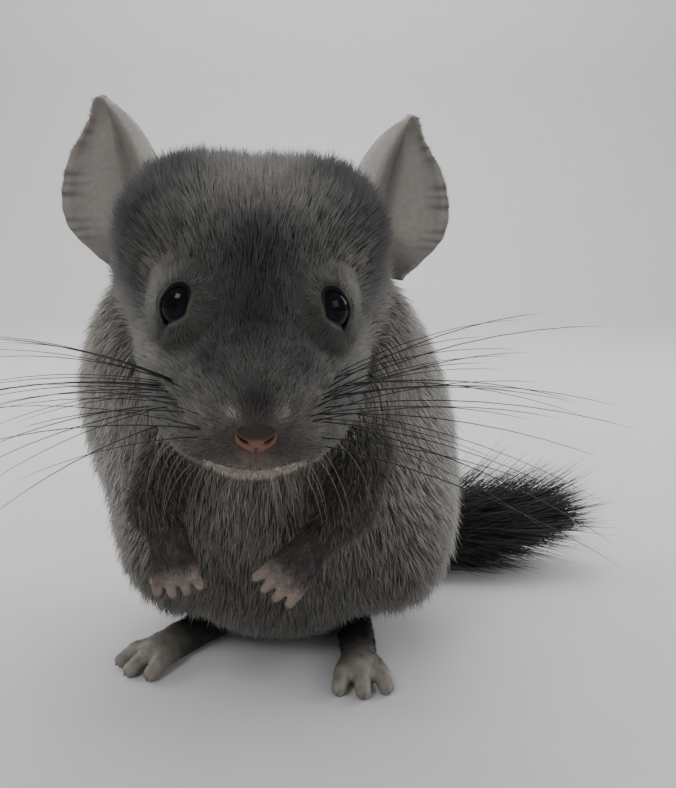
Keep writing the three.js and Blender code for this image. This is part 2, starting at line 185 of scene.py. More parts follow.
def gradient(form: Field, p: Array, step: float = 0.4) -> Array:
    """The field's slope, from the difference a small step ahead and behind on each axis."""
    out = np.empty_like(p)
    for i in range(3):
        d = np.zeros(3)
        d[i] = step
        out[:, i] = (form(p + d) - form(p - d)) / (2.0 * step)
    return out


def settle(form: Field, p: Array, turns: int = 6) -> Array:
    """Points moved along the slope until the field is zero there, by Newton's steps."""
    p = p.copy()
    for _ in range(turns):
        g = gradient(form, p)
        p -= 0.85 * g * (form(p) / np.maximum((g * g).sum(1), 0.2))[:, None]
    return p


def surface_net(form: Field, low: Array, high: Array, step: float) -> tuple[Array, Array]:
    """A closed net of quads where a field is zero.

    The field is worked out on a grid of points. Each cell that the surface crosses gets one
    point, the mean of where the cell's edges cross it, and each grid edge that is crossed gets
    one quad through the four cells round it. The points are then settled on the surface.

    Args:
        form: the field.
        low: the lowest corner of the grid.
        high: the highest corner.
        step: the width of a cell.
    Returns:
        Points and quads.
    """
    axes = [np.arange(a, b + step, step) for a, b in zip(low, high)]
    grid = np.stack(np.meshgrid(*axes, indexing="ij"), axis=-1)
    value = form(grid.reshape(-1, 3)).reshape(grid.shape[:3])
    cells = tuple(n - 1 for n in value.shape)
    total = np.zeros(cells + (3,))
    count = np.zeros(cells)
    for axis in range(3):
        others = [i for i in range(3) if i != axis]
        for shift in ((0, 0), (0, 1), (1, 0), (1, 1)):
            start = [0, 0, 0]
            start[others[0]], start[others[1]] = shift
            near = tuple(slice(s, s + n) for s, n in zip(start, cells))
            start[axis] = 1
            far = tuple(slice(s, s + n) for s, n in zip(start, cells))
            a, b = value[near], value[far]
            cut = (a < 0) != (b < 0)
            t = np.where(cut, a / np.where(cut, a - b, 1.0), 0.0)[..., None]
            total += np.where(cut[..., None], grid[near] * (1 - t) + grid[far] * t, 0.0)
            count += cut
    crossed = count > 0
    number = np.full(cells, -1)
    number[crossed] = np.arange(crossed.sum())
    points = total[crossed] / count[crossed][:, None]
    quads = []
    for axis in range(3):
        b, c = [(axis + 1) % 3, (axis + 2) % 3]
        lead = [slice(0 if i == axis else 1, cells[i]) for i in range(3)]
        ahead = list(lead)
        ahead[axis] = slice(1, cells[axis] + 1)
        a_in, b_in = value[tuple(lead)] < 0, value[tuple(ahead)] < 0
        at = np.argwhere(a_in != b_in)
        outward = a_in[tuple(at.T)]
        base = at + np.array([0 if i == axis else 1 for i in range(3)])

        def cell(db: int, dc: int) -> Array:
            """The numbers of the cells a step back along the other two axes."""
            q = base.copy()
            q[:, b] -= db
            q[:, c] -= dc
            return number[tuple(q.T)]

        ring = np.stack([cell(1, 1), cell(0, 1), cell(0, 0), cell(1, 0)], axis=1)
        ring[~outward] = ring[~outward][:, ::-1]
        quads.append(ring)
    return settle(form, points), np.concatenate(quads)


# Meshes.


def put_mesh(
    name: str,
    points: Array,
    faces: Array,
    material: bpy.types.Material,
    colours: Array | None = None,
    places: Array | None = None,
) -> bpy.types.Object:
    """A smooth object from arrays, with its colours as an attribute and its places as a map.

    Args:
        name: the object's name.
        points: in millimetres.
        faces: rows of three or of four point numbers.
        material: its finish.
        colours: linear red, green and blue, for each point or once for all.
        places: two numbers for each point, for the map.
    Returns:
        The object, linked into the scene and riding on the body.
    """
    mesh = bpy.data.meshes.new(name)
    corners = faces.shape[1]
    mesh.vertices.add(len(points))
    mesh.vertices.foreach_set("co", (points * MILLIMETRE).astype(np.float32).ravel())
    mesh.loops.add(faces.size)
    mesh.loops.foreach_set("vertex_index", faces.astype(np.int32).ravel())
    mesh.polygons.add(len(faces))
    mesh.polygons.foreach_set("loop_start", np.arange(0, faces.size, corners, dtype=np.int32))
    mesh.polygons.foreach_set("use_smooth", np.full(len(faces), True))
    mesh.update(calc_edges=True)
    if colours is not None:
        layer = mesh.color_attributes.new("Coat", "FLOAT_COLOR", "POINT")
        rgba = np.ones((len(points), 4), np.float32)
        rgba[:, :3] = np.clip(colours, 0.0, 1.0)
        layer.data.foreach_set("color", rgba.ravel())
    if places is not None:
        layer = mesh.uv_layers.new(name="OFBake")
        layer.data.foreach_set("uv", places[faces.ravel()].astype(np.float32).ravel())
    mesh.validate()
    mesh.materials.append(material)
    piece = bpy.data.objects.new(name, mesh)
    bpy.context.collection.objects.link(piece)
    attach(piece, BODY)
    return piece


def grid_faces(rows: int, columns: int, ring: bool = True) -> Array:
    """Quads over a grid of points, closed round each row if it is a ring."""
    i, j = np.meshgrid(np.arange(rows - 1), np.arange(columns if ring else columns - 1), indexing="ij")
    k = (j + 1) % columns
    here, ahead = i * columns, (i + 1) * columns
    return np.stack([here + j, here + k, ahead + k, ahead + j], -1).reshape(-1, 4)


def end_caps(rows: int, columns: int) -> Array:
    """Quads over the first and the last ring, each from one half of the ring to the other."""
    half = columns // 2 - 1
    caps = []
    for row, flip in ((0, 1), (rows - 1, -1)):
        j = row * columns + np.arange(columns)
        cap = np.stack([j[:half], j[1:half + 1], j[columns - 2:half:-1], j[:half + 1:-1]], 1)
        caps.append(cap[:, ::flip])
    return np.concatenate(caps)


def signed_volume(points: Array, quads: Array) -> float:
    """The volume that quads enclose, above zero where they face outwards: a sixth of the sum of
    each triangle's triple product."""
    c = points - points.mean(0)
    a, b, d, e = (c[quads[:, i]] for i in range(4))
    return float((np.cross(a, b) * d).sum() + (np.cross(a, d) * e).sum()) / 6.0


def outward(points: Array, quads: Array) -> Array:
    """The quads, turned round if they face inwards."""
    return quads[:, ::-1] if signed_volume(points, quads) < 0.0 else quads


def tube(
    line: Array, wide: Array, high: Array, radius: Array, sides: int, flat: float = 1.0
) -> tuple[Array, Array]:
    """A closed tube: round each stop of a line, the radius times the wide direction by the flat
    share and the cosine of the angle, plus the radius times the high direction by its sine.

    Args:
        line: the stops.
        wide: a direction across the line at each stop.
        high: the direction across both.
        radius: a radius for each stop.
        sides: points in a ring.
        flat: the ring's width over its height.
    Returns:
        Points and quads.
    """
    a = np.linspace(0.0, 2.0 * math.pi, sides, endpoint=False)
    ring = np.cos(a)[None, :, None] * wide[:, None] * flat + np.sin(a)[None, :, None] * high[:, None]
    points = (line[:, None] + ring * radius[:, None, None]).reshape(-1, 3)
    quads = np.concatenate([grid_faces(len(line), sides), end_caps(len(line), sides)])
    return points, outward(points, quads)


def ball_mesh(around: int, along: int) -> tuple[Array, Array, Array]:
    """A unit ball with its pole on +z, as rings between two small end rings.

    Args:
        around: points in a ring.
        along: rings from pole to pole.
    Returns:
        Points, quads, and each point's angle from the pole.
    """
    polar = np.linspace(0.004, math.pi - 0.004, along)
    turn = np.linspace(0.0, 2.0 * math.pi, around, endpoint=False)
    a, b = np.meshgrid(polar, turn, indexing="ij")
    points = np.stack([np.sin(a) * np.cos(b), np.sin(a) * np.sin(b), np.cos(a)], -1).reshape(-1, 3)
    quads = np.concatenate([grid_faces(along, around)[:, ::-1], end_caps(along, around)])
    return points, outward(points, quads), a.ravel()


def strands(
    paths: Array, width: Array, thickness: Array, side: Array, sides: int = 3
) -> tuple[Array, Array]:
    """Closed tapering hairs or locks along paths, all with the same number of stops.

    At each stop but the last, a small ring stands across the path: its points are the stop plus
    the side direction times half the width and cosine of the angle, plus the direction across
    both times half the thickness and sine of it. The last stop is the tip.

    Args:
        paths: hairs by stops by three.
        width: hairs by stops less one.
        thickness: the same.
        side: one direction for each hair.
        sides: points in a ring.
    Returns:
        Points and triangles.
    """
    hairs, stops = paths.shape[:2]
    along = unit(np.gradient(paths, axis=1))
    wide = flat_to(np.broadcast_to(side[:, None, :], along.shape), along)
    thick = np.cross(along, wide)
    a = 2.0 * math.pi * np.arange(sides) / sides
    body = (
        paths[:, :-1, None, :]
        + wide[:, :-1, None, :] * (width[:, :, None] * np.cos(a) / 2.0)[..., None]
        + thick[:, :-1, None, :] * (thickness[:, :, None] * np.sin(a) / 2.0)[..., None]
    )
    points = np.concatenate([body.reshape(hairs, -1, 3), paths[:, -1:, :]], axis=1)
    i = np.arange(sides)
    j = (i + 1) % sides
    faces = [np.stack([np.zeros(sides - 2, int), np.arange(2, sides), np.arange(1, sides - 1)], 1)]
    for row in range(stops - 2):
        n, m = row * sides, (row + 1) * sides
        faces += [np.stack([n + i, n + j, m + j], 1), np.stack([n + i, m + j, m + i], 1)]
    last = (stops - 2) * sides
    faces.append(np.stack([last + i, last + j, np.full(sides, (stops - 1) * sides)], 1))
    one = np.concatenate(faces)
    each = (stops - 1) * sides + 1
    every = (one[None] + (np.arange(hairs) * each)[:, None, None]).reshape(-1, 3)
    return points.reshape(-1, 3), every


# The animal's form.


@dataclass(frozen=True)
class HeadFrame:
    """The head's own frame: x to the animal's left, y to its nose, z to its crown."""

    centre: tuple = (-0.8, -58.0, 120.0)
    pitch: float = 37.0
    yaw: float = 7.0
    roll: float = 1.8

    @property
    def turn(self) -> Array:
        """The turn by pitch about x, then roll about y, then yaw about z."""
        p, r, y = (math.radians(a) for a in (self.pitch, self.roll, self.yaw))
        about_x = np.array([[1, 0, 0], [0, math.cos(p), -math.sin(p)], [0, math.sin(p), math.cos(p)]])
        about_y = np.array([[math.cos(r), 0, math.sin(r)], [0, 1, 0], [-math.sin(r), 0, math.cos(r)]])
        about_z = np.array([[math.cos(y), -math.sin(y), 0], [math.sin(y), math.cos(y), 0], [0, 0, 1]])
        return about_z @ about_y @ about_x

    def way(self, v: Array) -> Array:
        """A direction of the head's frame in the animal's."""
        return (np.asarray(v, float) * [1.0, -1.0, 1.0]) @ self.turn.T

    def place(self, v: Array) -> Array:
        """A point of the head's frame in the animal's."""
        return self.way(v) + np.array(self.centre)

    def local(self, p: Array) -> Array:
        """A point of the animal's frame in the head's."""
        return ((p - np.array(self.centre)) @ self.turn) * [1.0, -1.0, 1.0]

    def ball(self, at: tuple, half: tuple) -> Ball:
        """An ellipsoid set and turned with the head."""
        return Ball(self.place(at), np.array(half), self.turn)

    @property
    def unwrap(self) -> tuple[Array, Array, Array]:
        """The middle, the pole and the start of the map round the head."""
        return self.place((0, 4, 0)), self.way((0, 1, 0)), self.way((0, 0, 1))


@dataclass
class Form:
    """The whole animal as fields, with the sizes that the solids have."""

    head: HeadFrame = field(default_factory=HeadFrame)
    eye_at: tuple = (16.8, 15.2, 9.2)
    eye_radius: float = 6.2
    nose_at: tuple = (0.0, 43.6, -4.4)
    nose_half: tuple = (5.2, 3.9, 5.2)

    def __post_init__(self) -> None:
        """Sets up the fields of the body's parts."""
        h = self.head
        self.trunk = Blend(22.0, (
            Ball([4, 4, 61], [56, 52, 47]),
            Ball([-6, -2, 88], [56.5, 44, 52]),
            Ball([2, 12, 33], [42, 44, 36]),
        ))
        pairs = []
        for k in (1, -1):
            pairs += [
                h.ball((k * 20.5, -15, -3), (15.5, 19, 20)),
                h.ball((k * 17.3, -15, 13), (14.5, 16, 14)),
                h.ball((k * 15.5, 11, -9), (14, 20, 13)),
                h.ball((k * 11, 30, -10), (12.5, 14, 9.5)),
            ]
        self.skull = Blend(11.0, (
            h.ball((0, -8, 3), (32, 31, 27)), *pairs, h.ball((0, 20, 1), (15.5, 25, 13)),
            h.ball((0, 36.5, -12.5), (12, 9, 5.2)),
        ))
        self.jaw = h.ball((0, 25, -19.5), (10.5, 15, 7.5))
        self.neck = Ball([-3, -34, 103], [47, 31, 36])
        self.haunches = Blend(1.0, tuple(Ball([k * 34 + 4, -2, 43], [22, 38, 31]) for k in (1, -1)))
        self.arms = {
            Side.RIGHT: np.array([[-25, -44, 76], [-29, -57, 63], [-25, -61, 56], [-23.5, -62, 47.0]]),
            Side.LEFT: np.array([[27, -44, 76], [24, -57, 62], [15, -61, 54], [7.5, -62, 45.0]]),
        }
        self.forelegs = Blend(1.0, tuple(Limb(a[:3], np.array([10, 8, 5.2])) for a in self.arms.values()))
        self.feet = {
            Side.LEFT: np.array([[26, 6, 5.0], [27, -15.5, 5.3], [28, -37, 3.9]]),
            Side.RIGHT: np.array([[-12, 6, 5.0], [-24.75, -10, 5.3], [-37.5, -26, 3.9]]),
        }
        self.torso = Blend(9.0, (self.trunk, self.neck, self.haunches))
        self.body = Blend(4.0, (self.torso, self.forelegs))
        self.face = Blend(2.5, (self.skull, self.jaw))
        self.whole = Blend(6.0, (self.body, self.face))

    def eye(self, side: Side) -> Array:
        """The middle of an eye."""
        x, y, z = self.eye_at
        return self.head.place((side.value * x, y, z))

    def eye_way(self, side: Side) -> Array:
        """The direction that an eye looks, straight out of the face."""
        return unit(gradient(self.skull, self.eye(side)[None]))[0]


# The coat: how long it is, how it lies and what colour it has at each place.


@dataclass
class CoatRule:
    """The lie, length and colour of the fur as functions of the place on the skin."""

    form: Form
    body_length: float = 9.0
    crown_length: float = 7.5
    muzzle_length: float = 2.6
    leg_length: float = 4.5
    leg_lean: float = 70.0
    body_lean: float = 57.0
    sunk: float = 0.78

    def shares(self, p: Array) -> Array:
        """How far each point belongs to the face, the forelegs and the body: each share falls
        off with the exponential of that part's distance over 3 mm."""
        f = np.stack([self.form.face(p), self.form.forelegs(p), self.form.torso(p)], 1)
        w = np.exp(-(f - f.min(1, keepdims=True)) / 3.0)
        return w / w.sum(1, keepdims=True)

    def near_eye(self, p: Array) -> Array:
        """The distance to the nearer eye's middle."""
        return np.minimum(*(np.linalg.norm(p - self.form.eye(s), axis=1) for s in Side))

    def from_nose(self, local: Array) -> Array:
        """The distance to the nose's middle, for points in the head's frame."""
        return np.linalg.norm(local - np.array(self.form.nose_at), axis=1)

    def length(self, p: Array) -> Array:
        """The fur's length: shortest round the nose and eyes, longest on the body."""
        from_nose = self.from_nose(self.form.head.local(p))
        face = mix(self.muzzle_length, self.crown_length, smooth(from_nose, 8, 58))
        face = face * mix(0.6, 1.0, smooth(self.near_eye(p), 6, 17))
        w = self.shares(p)
        body = self.body_length * mix(0.55, 1.0, smooth(p[:, 2], 2, 26))
        return w[:, 0] * face + w[:, 1] * self.leg_length + w[:, 2] * body

    def lean(self, p: Array) -> Array:
        """The angle of the fur from straight up, in radians: flat on muzzle and legs."""
        local = self.form.head.local(p)
        w = self.shares(p)
        crown = smooth(local[:, 2] - 0.3 * local[:, 1], 24, 32)
        face = mix(75.0, 60.0, smooth(self.from_nose(local), 8, 45)) - 22.0 * crown
        return np.radians(w[:, 0] * face + w[:, 1] * self.leg_lean + w[:, 2] * self.body_lean)

    def depth(self, p: Array) -> Array:
        """How deep the skin lies under the tips."""
        return self.length(p) * np.cos(self.lean(p)) * self.sunk

    def skin(self, p: Array) -> Array:
        """The field of the skin: the whole form, sunk by the depth of the coat."""
        return self.form.whole(p) + self.depth(p)

    def lie(self, p: Array, normal: Array) -> Array:
        """The direction in which the fur runs along the skin.

        On the face it runs away from the nose and round the eyes, on the body down and back,
        and on the forelegs towards the paw. A soft ripple turns it a little.

        Args:
            p: points on the skin.
            normal: the skin's normal there.
        Returns:
            Directions along the skin.
        """
        form = self.form
        nose = form.head.place(form.nose_at)
        face = unit(p - nose) + 0.25 * form.head.way((0, -1, 0.1))
        for side in Side:
            away = p - form.eye(side)
            near = np.exp(-((np.linalg.norm(away, axis=1) / 9.0) ** 2))
            face = face + 2.4 * near[:, None] * unit(away)
        middle = form.trunk.parts[0].centre
        out = unit((p - np.array(middle, float)) * [1.0, 1.0, 0.0])
        body = -UP + 0.30 * out + np.array([0.0, 0.35, 0.0])
        leg = np.broadcast_to(unit(np.array([0.0, -0.25, -1.0])), p.shape)
        w = self.shares(p)
        way = w[:, :1] * unit(face) + w[:, 1:2] * leg + w[:, 2:] * unit(body)
        wander = np.stack([ripple(p, 13.0, 3), ripple(p, 13.0, 4), ripple(p, 13.0, 5)], 1)
        fine = np.stack([ripple(p, 4.5, 6), ripple(p, 4.5, 7), ripple(p, 4.5, 8)], 1)
        return flat_to(way + 0.2 * wander + 0.16 * fine, normal)

    def colour(self, p: Array) -> Array:
        """The coat's markings, shared by skin and fur, with painted light and shade in some of them.

        Args:
            p: points on the skin.
        Returns:
            Linear colours.
        """
        q = self.form.head.local(p)
        x = np.abs(q[:, 0])

        def spot(at: tuple, size: tuple) -> Array:
            """A soft patch on both sides of the head: one over e at the given sizes."""
            d = (np.stack([x, q[:, 1], q[:, 2]], 1) - np.array(at)) / np.array(size)
            return np.exp(-(d * d).sum(1))[:, None]

        face = np.broadcast_to(tint("605f5c"), p.shape)
        for shade, strength, at, size in (
            ("76736c", 0.9, (0, -5, 29), (16, 13, 9)),
            ("17171a", 0.94, (20, -15, 27), (8, 10, 9)),
            # Temples: dark fur, made darker still as painted shade on the sides of the head.
            ("121214", 0.97, (29, -6, 17), (11, 17, 15)),
            ("2d2d30", 0.9, (0, 12, 21), (10, 11, 8)),
            ("2e2e31", 0.92, (0, 27, 14.5), (9.5, 12, 7)),
            ("79756c", 0.85, (22.5, 10, 14.5), (5, 6, 4.5)),
            ("242426", 0.88, (29.5, 8, 5), (5, 6.5, 5)),
            ("7b7872", 0.9, (25, 20, -2), (8, 8.5, 6)),
            ("5a5956", 0.8, (13.5, 26, 8), (4, 6, 5)),
            ("262628", 0.85, (11, 34.5, 7.6), (4.6, 4.4, 3)),
            ("86827b", 0.75, (13, 41, -3), (7, 7, 6)),
            ("2c2828", 0.8, (0, 44, 5), (3.6, 5, 3.2)),
            ("a8a298", 0.85, (5.2, 44.4, 1.2), (1.7, 3, 1.9)),
            ("5c4a43", 0.7, (0, 46, -4), (7.5, 4, 5)),
            ("84716a", 0.9, (0, 46.5, -9.5), (4.5, 4, 3)),
            ("c4b9ac", 0.9, (0, 46, -13.0), (10, 6, 2.8)),
        ):
            face = mix(face, tint(shade), strength * spot(at, size))
        front = smooth(-p[:, 1], 5, 50)[:, None]
        low = (1 - smooth(p[:, 2], 22, 72))[:, None]
        # Pale sides: partly paler fur and partly painted rim light from behind; darker to the front.
        body = mix(tint("bebbb5"), tint("928d86"), 0.9 * front)
        # Low on the front: dark belly fur together with painted shade under the belly.
        body = mix(body, tint("302c26"), 0.95 * front * low)
        body = mix(body, tint("6b6863"), 0.6 * smooth(p[:, 1], 0, 40)[:, None])
        leg = np.broadcast_to(tint("5b5751"), p.shape)
        w = self.shares(p)
        out = w[:, :1] * face + w[:, 1:2] * leg + w[:, 2:] * body
        return out * (1.0 + 0.10 * ripple(p, 7.0, 11)[:, None] + 0.16 * ripple(p, 2.6, 12)[:, None])


@dataclass
class Coat:
    """Fur as closed tufts. A bent one has a root ring, a middle ring and a tip, ten triangles, and
    a straight one has a root ring and a tip, four triangles."""

    rule: CoatRule
    fur: bpy.types.Material
    most: int = 190000
    # Share by which a tuft's root ring is darkened: painted shade where the coat hides its own roots.
    root_painted_shade: float = 0.5
    tip_shade: float = 1.3
    bent: bool = True
    variety: float = 0.18
    sink: float = 0.45
    root_bend: float = 0.3
    tip_bend: float = 0.26
    flat: float = 0.6

    def roots(
        self, points: Array, quads: Array, count: int, seed: int, weight: Field = evenly
    ) -> tuple[Array, Array]:
        """Random places on the skin: quads are drawn by area times weight, then a place in each.

        Args:
            points: the skin's points.
            quads: the skin's quads.
            count: how many places.
            seed: for the draw.
            weight: how dense the fur is at a point.
        Returns:
            Places on the skin, and the normals of their quads.
        """
        draw = np.random.default_rng(seed)
        a, b, c, d = (points[quads[:, i]] for i in range(4))
        area = np.linalg.norm(np.cross(c - a, d - b), axis=1) * weight((a + b + c + d) / 4.0)
        pick = draw.choice(len(quads), count, p=area / area.sum())
        u, v = draw.random((2, count, 1))
        a, b, c, d = (x[pick] for x in (a, b, c, d))
        return mix(mix(a, b, u), mix(d, c, u), v), unit(np.cross(c - a, d - b))

    def grow(
        self,
        name: str,
        root: Array,
        normal: Array,
        lie: Array,
        length: Array | float,
        lean: Array | float,
        width: Array | float,
        colour: Array,
        place: Array,
        seed: int,
    ) -> None:
        """Tufts on roots, put into as many pieces as their number needs.

        A tuft runs half its length at a little less than the lean, then half at a little more,
        so that it bends down over the skin. Its width and side are varied at random.

        Args:
            name: the start of the pieces' names.
            root: places on the skin.
            normal: the skin's normals.
            lie: directions along the skin.
            length: lengths in millimetres.
            lean: angles from the normal, in radians.
            width: widths in millimetres.
            colour: linear colours.
            place: each root's place on the unwrap of the skin.
            seed: for the draw.
        """
        draw = np.random.default_rng(seed)
        n = len(root)
        length = length * draw.uniform(0.7, 1.12, n) * (1.0 + 0.12 * ripple(root, 3.4, 13))
        lean = lean + draw.normal(0.0, 0.1, n) + 0.12 * ripple(root, 3.0, 14)
        lie = flat_to(lie + draw.normal(0.0, 0.14, (n, 3)), normal)
        base = root - normal * self.sink
        if self.bent:
            half = (length * 0.5)[:, None]
            middle = base + self.leaning(normal, lie, lean - self.root_bend) * half
            stops = [base, middle, middle + self.leaning(normal, lie, lean + self.tip_bend) * half]
        else:
            stops = [base, base + self.leaning(normal, lie, lean) * length[:, None]]
        paths = np.stack(stops, 1)
        keep_above(paths, HAIR_FLOOR)
        rings = len(stops) - 1
        side = unit(np.cross(normal, lie) + 0.7 * draw.normal(0.0, 1.0, (n, 1)) * normal)
        wide = (width * draw.uniform(0.7, 1.3, n))[:, None] * np.array([1.0, 0.72])[:rings]
        points, faces = strands(paths, wide, wide * self.flat, side)
        tone = draw.uniform(1.0 - self.variety, 1.0 + self.variety, (n, 1))
        # The root ring is darkened as painted shade of the coat, the middle keeps its colour and the tip is
        # lightened.
        shades = np.repeat([self.root_painted_shade, 1.0][:rings], 3).tolist() + [self.tip_shade]
        colours = (colour[:, None, :] * (np.array(shades)[:, None] * tone[:, None])).reshape(-1, 3)
        corner = np.array([[0.0, 0.0], [1.0, 0.0], [0.5, 0.0]])
        patch = np.concatenate([corner + [0.0, 0.6 * k] for k in range(rings)] + [[[0.5, 1.0]]])
        places = (place[:, None, :] + patch * MAP_EDGE - MAP_EDGE / 2.0).reshape(-1, 2)
        each, flat = 3 * rings + 1, 6 * rings - 2
        parts = -(-n * flat // self.most)
        ends = np.linspace(0, n, parts + 1).astype(int)
        for k, (low, high) in enumerate(zip(ends[:-1], ends[1:])):
            those = slice(low * each, high * each)
            piece = put_mesh(
                f"{name}_{k + 1}", points[those], faces[low * flat:high * flat] - low * each,
                self.fur, colours[those], places[those])

    @staticmethod
    def leaning(normal: Array, lie: Array, lean: Array) -> Array:
        """Directions at an angle from the normal, over towards the lie."""
        return unit(normal * np.cos(lean)[:, None] + lie * np.sin(lean)[:, None])


def round_places(p: Array, centre: Array, pole: Array, start: Array) -> Array:
    """The unwrap of a form round its middle: the angle round the pole and the angle from it,
    each brought to the range from 0 to 1."""
    way = unit(p - centre)
    third = np.cross(pole, start)
    u = np.arctan2(way @ third, way @ start) / (2.0 * math.pi) + 0.5
    v = np.arccos(np.clip(way @ pole, -1.0, 1.0)) / math.pi
    return np.clip(np.stack([u, v], 1), MAP_EDGE, 1.0 - MAP_EDGE)


# Finishes.


@dataclass(frozen=True)
class Finish:
    """A surface: the piece's own colours, broken by fine noise, with a bump of set size."""

    name: str
    roughness: float
    specular: float
    grain: float = 1500.0
    grain_depth: float = 0.15
    bump: float = 0.3
    bump_distance: float = 0.0003
    sheen: float = 0.0
    subsurface: float = 0.0
    fixed: tuple | None = None

    def material(self) -> bpy.types.Material:
        """The material with its nodes: colour is the attribute times a noise ramp."""
        made = bpy.data.materials.new(self.name)
        made.use_nodes = True
        nodes, links = made.node_tree.nodes, made.node_tree.links
        shader = nodes["Principled BSDF"]
        for name, value in (
            ("Roughness", self.roughness),
            ("Specular IOR Level", self.specular),
            ("Sheen Weight", self.sheen),
            ("Sheen Roughness", 0.45),
            ("Subsurface Weight", self.subsurface),
            ("Subsurface Radius", (0.002, 0.0009, 0.0006)),
        ):
            shader.inputs[name].default_value = value
        where = nodes.new("ShaderNodeTexCoord")
        noise = nodes.new("ShaderNodeTexNoise")
        noise.inputs["Scale"].default_value = self.grain
        noise.inputs["Detail"].default_value = 3.0
        links.new(where.outputs["Object"], noise.inputs["Vector"])
        ramp = nodes.new("ShaderNodeValToRGB")
        low = 1.0 - self.grain_depth
        ramp.color_ramp.elements[0].position = 0.3
        ramp.color_ramp.elements[0].color = (low, low, low, 1.0)
        ramp.color_ramp.elements[1].position = 0.7
        links.new(noise.outputs["Fac"], ramp.inputs["Fac"])
        times = nodes.new("ShaderNodeMix")
        times.data_type = "RGBA"
        times.blend_type = "MULTIPLY"
        times.inputs[0].default_value = 1.0
        if self.fixed is None:
            colour = nodes.new("ShaderNodeAttribute")
            colour.attribute_name = "Coat"
            links.new(colour.outputs["Color"], times.inputs[6])
        else:
            times.inputs[6].default_value = (*self.fixed, 1.0)
        links.new(ramp.outputs["Color"], times.inputs[7])
        links.new(times.outputs[2], shader.inputs["Base Color"])
        if self.bump > 0.0:
            bump = nodes.new("ShaderNodeBump")
            bump.inputs["Strength"].default_value = self.bump
            bump.inputs["Distance"].default_value = self.bump_distance
            links.new(noise.outputs["Fac"], bump.inputs["Height"])
            links.new(bump.outputs["Normal"], shader.inputs["Normal"])
        return made


class Finishes:
    """Every finish of the animal, made once."""

    def __init__(self) -> None:
        """Makes the materials."""
        self.fur = Finish("soft_fur", 0.62, 0.25, 900.0, 0.12, 0.0, sheen=0.04).material()
        self.down = Finish("under_fur", 0.8, 0.15, 1800.0, 0.45, 0.6).material()
        self.ear = Finish("ear_skin", 0.6, 0.3, 700.0, 0.16, 0.35, subsurface=0.35).material()
        self.paw = Finish("paw_skin", 0.55, 0.35, 1300.0, 0.2, 0.5, subsurface=0.12).material()
        self.nose = Finish("nose_skin", 0.55, 0.2, 2600.0, 0.3, 0.8, subsurface=0.1).material()
        self.eye = Finish("wet_eye", 0.05, 0.12, 300.0, 0.1, 0.0).material()
        self.lid = Finish("lid_skin", 0.6, 0.12, 1600.0, 0.25, 0.5).material()
        self.claw = Finish("claw_horn", 0.35, 0.45, 500.0, 0.2, 0.1).material()
        self.whisker = Finish("whisker_hair", 0.4, 0.4, 200.0, 0.1, 0.0).material()


# The animal's pieces.


@dataclass
class Furred:
    """A piece that carries fur: the form it follows, the coat's rule and the finishes."""

    form: Form
    rule: CoatRule
    finishes: Finishes


